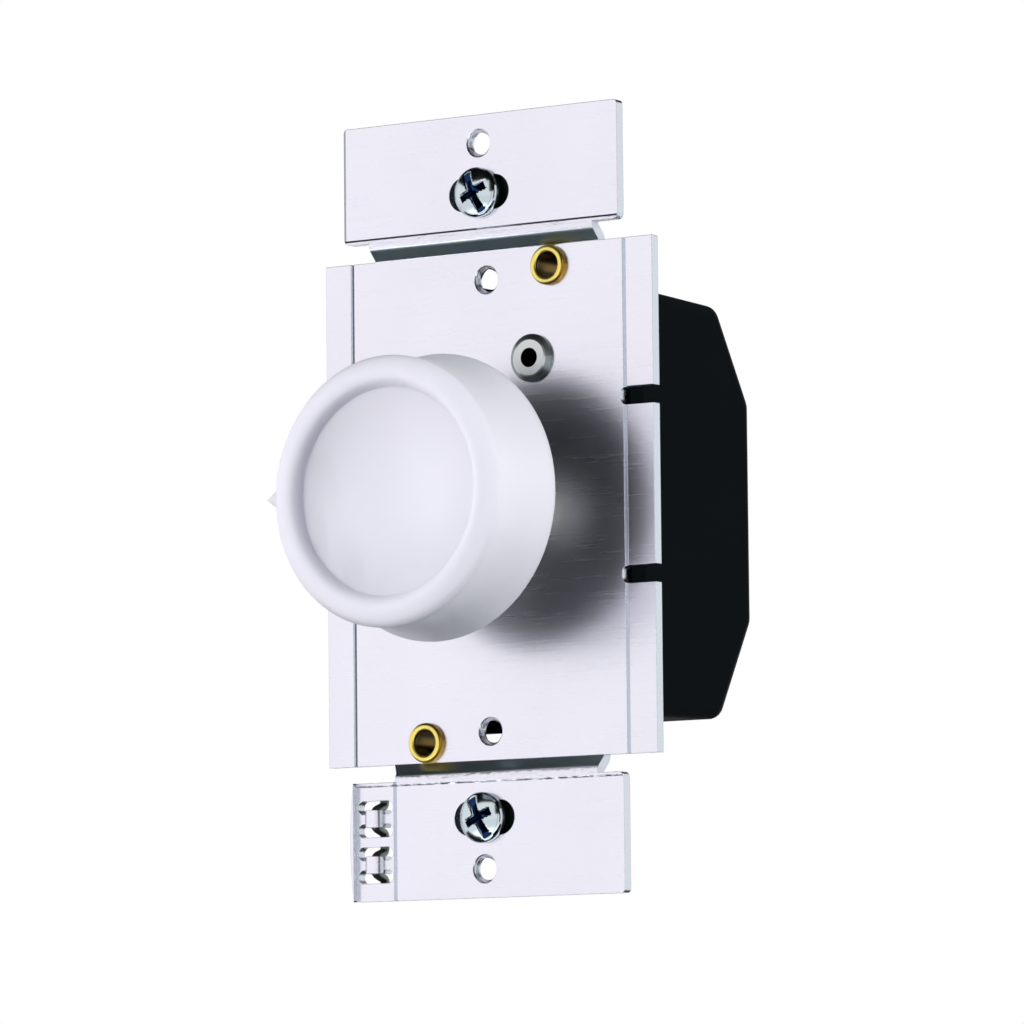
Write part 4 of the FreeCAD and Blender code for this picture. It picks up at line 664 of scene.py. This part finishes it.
class DIMMER_OT_threads(bpy.types.Operator):
    """Cut the threads of the box screws and of the tapped holes"""

    bl_idname = "dimmer.threads"
    bl_label = "Threads"

    def execute(self, context):
        sizes = context.scene.dimmer_sizes
        tree = make_helix_tree("thread_turns", kite_profile)
        self.cut_screws(tree, sizes)
        self.tap_holes(tree, sizes)
        return {"FINISHED"}

    def cut_screws(self, tree, sizes):
        screws = ("top_box_screw", "bottom_box_screw")
        core_radius = SCREW_RADIUS - sizes.thread_depth
        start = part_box("top_screw_retainer")[1][1] + sizes.thread_pitch
        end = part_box(screws[0])[1][1] - sizes.thread_pitch
        places = []
        for name in screws:
            low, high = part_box(name)
            places.append(((low[0] + high[0]) / 2, start, (low[2] + high[2]) / 2))
        turns = turns_mesh(tree, places, MATERIALS["zinc_steel"], Radius=core_radius,
                           Pitch=sizes.thread_pitch, Turns=(end - start) / sizes.thread_pitch,
                           Ridge=sizes.thread_depth)
        cores = [screw_core(name, core_radius) for name in screws]
        piece = new_piece("threaded_box_screws", [turns, *cores], "zinc_steel", "root")
        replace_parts(piece, *screws)

    def tap_holes(self, tree, sizes):
        margin = 0.46 * sizes.thread_pitch
        outer = mount_size("decorator_plate_holes", "spacing_y_mm") / 2
        inner = mount_size("toggle_plate_holes", "spacing_y_mm") / 2
        places = [(0, margin, outer), (0, margin, -outer)]
        places += [(0, PLATE_BACK - SHEET + margin, inner), (0, PLATE_BACK - SHEET + margin, -inner)]
        turns = turns_mesh(tree, places, MATERIALS["bare_aluminium"], Radius=HOLE_RADIUS,
                           Pitch=sizes.thread_pitch, Turns=(SHEET - 2 * margin) / sizes.thread_pitch,
                           Ridge=sizes.thread_depth * 0.8)
        new_piece("tapped_hole_threads", [turns], "bare_aluminium", "root")


class DIMMER_OT_winding(bpy.types.Operator):
    """Wind the choke's coil, layer on layer"""

    bl_idname = "dimmer.winding"
    bl_label = "Choke winding"

    def execute(self, context):
        wire = context.scene.dimmer_sizes.winding_wire
        tree = make_helix_tree("wire_turns", wire_profile)
        low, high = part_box("choke_winding")
        axis_x, axis_z = (low[0] + high[0]) / 2, (low[2] + high[2]) / 2
        outer = (high[0] - low[0] - wire) / 2
        layers = [
            turns_mesh(tree, [(axis_x, low[1] + wire / 2, axis_z)], MATERIALS["enamelled_wire"],
                       Radius=outer - step * wire, Pitch=wire * 1.01,
                       Turns=(high[1] - low[1] - wire) / (wire * 1.01), Ridge=wire / 2)
            for step in range(3)]
        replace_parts(new_piece("choke_coil", layers, "enamelled_wire", "root"), "choke_winding")
        return {"FINISHED"}


class DIMMER_OT_spring(bpy.types.Operator):
    """Wind the return spring, which shortens as the knob is pushed"""

    bl_idname = "dimmer.spring"
    bl_label = "Return spring"

    def execute(self, context):
        sizes = context.scene.dimmer_sizes
        wire, turns = sizes.spring_wire, sizes.spring_turns
        low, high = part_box("return_spring")
        length = high[1] - low[1]
        coil = turns_mesh(
            make_helix_tree("spring_turns", wire_profile), [(0, low[1] + wire / 2, 0)],
            MATERIALS["spring_steel"], Radius=(high[0] - low[0] - wire) / 2,
            Pitch=(length - wire) / turns, Turns=turns, Ridge=wire / 2)
        piece = new_piece("return_coil", [coil], "spring_steel", "root")
        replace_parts(piece, "return_spring")
        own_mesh(piece)
        return {"FINISHED"}


# Knob

# Each point: radius on the model's knob, radius and depth of the finer face, in millimetres.
FACE_PROFILE = (
    (13.80, 13.60, -21.55), (13.97, 13.66, -21.66), (14.14, 13.73, -21.82), (14.31, 13.81, -21.99),
    (14.46, 13.90, -22.17), (14.60, 14.00, -22.35), (14.72, 14.12, -22.53), (15.34, 14.26, -22.70),
    (15.46, 14.42, -22.86), (15.60, 14.61, -22.99), (15.75, 14.84, -23.10), (15.92, 15.10, -23.17),
    (16.09, 15.38, -23.20), (16.26, 15.66, -23.19), (16.50, 15.95, -23.14), (16.69, 16.23, -23.07),
    (16.87, 16.49, -22.98), (17.04, 16.73, -22.88), (17.20, 16.96, -22.76), (17.35, 17.17, -22.63),
    (17.48, 17.35, -22.49), (17.59, 17.50, -22.34), (17.68, 17.61, -22.20), (17.75, 17.70, -22.08),
    (17.79, 17.76, -21.98), (17.80, 17.80, -21.90),
)
# The model's knob: its dish floor, and radius and depth at both ends of its side.
DISH_FLOOR = -21.60 * MM
SKIRT_FRONT = (17.80 * MM, -21.90 * MM)
SKIRT_BACK = (19.00 * MM, -10.80 * MM)


def face_point(radius):
    """Radius and depth on the finer face, for a radius on the model's."""
    for first, second in zip(FACE_PROFILE, FACE_PROFILE[1:]):
        if radius <= second[0] * MM + 1e-6:
            share = (radius / MM - first[0]) / (second[0] - first[0])
            return tuple((a + (b - a) * share) * MM for a, b in zip(first[1:], second[1:]))
    return SKIRT_FRONT


class DIMMER_OT_knob(bpy.types.Operator):
    """Give the knob its crowned rim, crisp dish and slight waist"""

    bl_idname = "dimmer.knob"
    bl_label = "Knob"

    def execute(self, context):
        waist = context.scene.dimmer_sizes.knob_waist
        shell = bmesh.new()
        shell.from_mesh(NODES["knob"].data)
        bmesh.ops.remove_doubles(shell, verts=shell.verts, dist=1e-6)
        for step in range(1, 10):
            depth = SKIRT_FRONT[1] + (SKIRT_BACK[1] - SKIRT_FRONT[1]) * step / 10
            bmesh.ops.bisect_plane(shell, geom=[*shell.verts, *shell.edges, *shell.faces], dist=1e-6,
                                   plane_co=(0, depth, 0), plane_no=(0, 1, 0))
        for vertex in shell.verts:
            self.refine(vertex, waist)
        mesh = bpy.data.meshes.new("knob_copy")
        shell.to_mesh(mesh)
        shell.free()
        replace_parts(new_piece("crowned_knob", [mesh], "white_plastic", "knob"), "knob")
        return {"FINISHED"}

    def refine(self, vertex, waist):
        """Move one vertex of the copy onto the crowned face or the waisted side."""
        place = vertex.co
        radius = math.hypot(place.x, place.z)
        share = (place.y - SKIRT_FRONT[1]) / (SKIRT_BACK[1] - SKIRT_FRONT[1])
        skirt_radius = SKIRT_FRONT[0] + (SKIRT_BACK[0] - SKIRT_FRONT[0]) * share
        if place.y < DISH_FLOOR + 1e-5 and radius < FACE_PROFILE[0][0] * MM - 1e-5:
            place.y = FACE_PROFILE[0][2] * MM
            return
        if place.y < DISH_FLOOR + 1e-5 and radius < SKIRT_FRONT[0] - 1e-5:
            wanted, place.y = face_point(radius)
        elif 0 < share < 1 and abs(skirt_radius - radius) < 4e-5:
            wanted = radius - waist * math.sin(math.pi * share)
        else:
            return
        place.x *= wanted / radius
        place.z *= wanted / radius


# Stage

def floor_material(colour):
    """Pale matt paper that is clear from below."""
    material, tree, shader = new_material("floor_paper", Roughness=0.9, Specular_IOR_Level=0.1)
    shader.inputs["Base Color"].default_value = (*colour, 1)
    side = add(tree, "ShaderNodeNewGeometry")
    clear = add(tree, "ShaderNodeBsdfTransparent")
    mix = add(tree, "ShaderNodeMixShader")
    tree.links.new(side.outputs["Backfacing"], mix.inputs[0])
    tree.links.new(shader.outputs[0], mix.inputs[1])
    tree.links.new(clear.outputs[0], mix.inputs[2])
    tree.links.new(mix.outputs[0], tree.nodes["Material Output"].inputs["Surface"])
    return material


def panel_light(name, place, aim, width, height, radiance, colour=(1, 1, 1)):
    """A rectangular soft light with the brightness of its face given."""
    data = bpy.data.lights.new(name, "AREA")
    data.shape = "RECTANGLE"
    data.size, data.size_y = width, height
    data.energy = radiance * math.pi * width * height
    data.color = colour
    lamp = bpy.data.objects.new(name, data)
    bpy.context.scene.collection.objects.link(lamp)
    lamp.location = place
    lamp.rotation_mode = "QUATERNION"
    lamp.rotation_quaternion = (Vector(aim) - Vector(place)).to_track_quat("-Z", "Y")
    lamp.visible_glossy = False
    lamp.visible_camera = False


def flag(name, place, face, width, height):
    """A black card, seen in mirrors only."""
    material, _, shader = new_material(name, Roughness=1.0, Specular_IOR_Level=0.0)
    shader.inputs["Base Color"].default_value = (0.01, 0.01, 0.01, 1)
    mesh = bpy.data.meshes.new(name)
    turn = Vector(face).to_track_quat("Z", "Y")
    corners = [Vector((x * width / 2, y * height / 2, 0))
               for x, y in ((-1, -1), (1, -1), (1, 1), (-1, 1))]
    mesh.from_pydata([Vector(place) + turn @ corner for corner in corners], [], [(0, 1, 2, 3)])
    mesh.materials.append(material)
    card = bpy.data.objects.new(name, mesh)
    bpy.context.scene.collection.objects.link(card)
    card.visible_camera = False
    card.visible_diffuse = False
    card.visible_shadow = False
    card.visible_transmission = False


class DIMMER_OT_stage(bpy.types.Operator):
    """Set up floor, light and camera"""

    bl_idname = "dimmer.stage"
    bl_label = "Stage"

    def execute(self, context):
        studio = context.scene.dimmer_studio
        self.make_floor(studio)
        self.make_world()
        self.make_lights(studio)
        self.make_flags()
        self.make_camera(studio)
        return {"FINISHED"}

    def make_floor(self, studio):
        mesh = bpy.data.meshes.new("floor")
        reach = 12.0
        corners = [(-reach, -reach), (reach, -reach), (reach, reach), (-reach, reach)]
        mesh.from_pydata([(x, y, -studio.floor_drop) for x, y in corners], [], [(0, 1, 2, 3)])
        mesh.materials.append(floor_material((0.92, 0.92, 0.93)))
        floor = bpy.data.objects.new("floor", mesh)
        bpy.context.scene.collection.objects.link(floor)
        floor.visible_diffuse = False

    def make_world(self):
        world = bpy.data.worlds.new("white_room")
        bpy.context.scene.world = world
        world.use_nodes = True
        tree = world.node_tree
        fill = tree.nodes["Background"]
        fill.inputs["Color"].default_value = (0.78, 1.0, 1.0, 1)
        fill.inputs["Strength"].default_value = 0.13
        seen = add(tree, "ShaderNodeBackground", values={"Color": (1, 1, 1, 1), "Strength": 1.0})
        rays = add(tree, "ShaderNodeLightPath")
        shiny = math_node(tree, "MAXIMUM", rays.outputs["Is Glossy Ray"],
                          rays.outputs["Is Transmission Ray"])
        first = math_node(tree, "LESS_THAN", rays.outputs["Diffuse Depth"], 0.5)
        mirror = math_node(tree, "MULTIPLY", shiny, first)
        which = math_node(tree, "MAXIMUM", rays.outputs["Is Camera Ray"], mirror)
        mix = add(tree, "ShaderNodeMixShader")
        tree.links.new(which, mix.inputs[0])
        tree.links.new(fill.outputs[0], mix.inputs[1])
        tree.links.new(seen.outputs[0], mix.inputs[2])
        tree.links.new(mix.outputs[0], tree.nodes["World Output"].inputs["Surface"])

    def make_lights(self, studio):
        centre = (0, 0, 0)
        panel_light("left_panel", (-0.75, -1.70, 0.10), centre, 2.0, 1.5, 4.3, (1.0, 0.98, 0.975))
        panel_light("right_panel", (1.50, 0.22, 0.20), centre, 0.7, 0.6, 17.0, (0.99, 1.0, 0.97))
        panel_light("top_panel", (0.1, -1.0, 1.15), centre, 1.2, 0.8, 0.35, (0.85, 1.0, 0.97))
        panel_light("back_panel", (-0.4, 1.7, 0.6), centre, 1.6, 1.2, 2.4)
        below = (0, 0, -studio.floor_drop)
        panel_light("floor_panel", (0, 0, 0.1 - studio.floor_drop), below, 40.0, 40.0, 0.85)

    def make_flags(self):
        """Black cards that only mirror rays meet, as a metal object is shot with."""
        flag("low_flag", (-0.10, 0.15, -0.32), (0, 0, 1), 1.5, 0.8)
        flag("high_flag", (-0.10, 0.1, 0.42), (0, 0, -1), 1.7, 1.3)
        flag("edge_flag", (0.80, -0.53, 0.10), (-0.80, 0.53, -0.10), 0.35, 0.9)
        flag("dome_flag", (0.50, -0.80, 0.38), (-0.50, 0.80, -0.38), 0.5, 0.5)

    def make_camera(self, studio):
        data = bpy.data.cameras.new("camera")
        data.lens = studio.lens
        data.sensor_width = 36
        data.clip_start = 0.05
        data.clip_end = 50
        camera = bpy.data.objects.new("camera", data)
        bpy.context.scene.collection.objects.link(camera)
        a, e = studio.azimuth, studio.elevation
        back = Vector((math.sin(a) * math.cos(e), -math.cos(a) * math.cos(e), math.sin(e)))
        right = Vector((math.cos(a), math.sin(a), 0))
        up = back.cross(right)
        turned = Matrix.Rotation(studio.roll, 3, back)
        axes = Matrix((turned @ right, turned @ up, back)).transposed()
        place = Vector(studio.aim) + back * studio.distance
        camera.matrix_world = Matrix.Translation(place) @ axes.to_4x4()
        bpy.context.scene.camera = camera
        bpy.context.scene.view_settings.view_transform = "Standard"


class DIMMER_PT_panel(bpy.types.Panel):
    """Lists the steps in the sidebar"""

    bl_idname = "DIMMER_PT_panel"
    bl_label = "Rotary Dimmer"
    bl_space_type = "VIEW_3D"
    bl_region_type = "UI"
    bl_category = "Dimmer"

    def draw(self, context):
        layout = self.layout
        for step in STEPS:
            layout.operator(step)
        for settings in ("dimmer_finishes", "dimmer_sizes", "dimmer_studio"):
            group = getattr(context.scene, settings)
            box = layout.box()
            for name in group.bl_rna.properties.keys():
                if name not in ("rna_type", "name"):
                    box.prop(group, name)


STEPS = ("dimmer.finishes", "dimmer.threads", "dimmer.winding", "dimmer.spring",
         "dimmer.knob", "dimmer.stage")
CLASSES = (
    DimmerFinishes, DimmerSizes, DimmerStudio,
    DIMMER_OT_finishes, DIMMER_OT_threads, DIMMER_OT_winding, DIMMER_OT_spring,
    DIMMER_OT_knob, DIMMER_OT_stage, DIMMER_PT_panel,
)


def register():
    for cls in CLASSES:
        bpy.utils.register_class(cls)
    bpy.types.Scene.dimmer_finishes = bpy.props.PointerProperty(type=DimmerFinishes)
    bpy.types.Scene.dimmer_sizes = bpy.props.PointerProperty(type=DimmerSizes)
    bpy.types.Scene.dimmer_studio = bpy.props.PointerProperty(type=DimmerStudio)


def unregister():
    del bpy.types.Scene.dimmer_finishes
    del bpy.types.Scene.dimmer_sizes
    del bpy.types.Scene.dimmer_studio
    for cls in reversed(CLASSES):
        bpy.utils.unregister_class(cls)


def main():
    register()
    for step in STEPS:
        family, name = step.split(".")
        getattr(getattr(bpy.ops, family), name)()


if __name__ == "__main__":
    main()
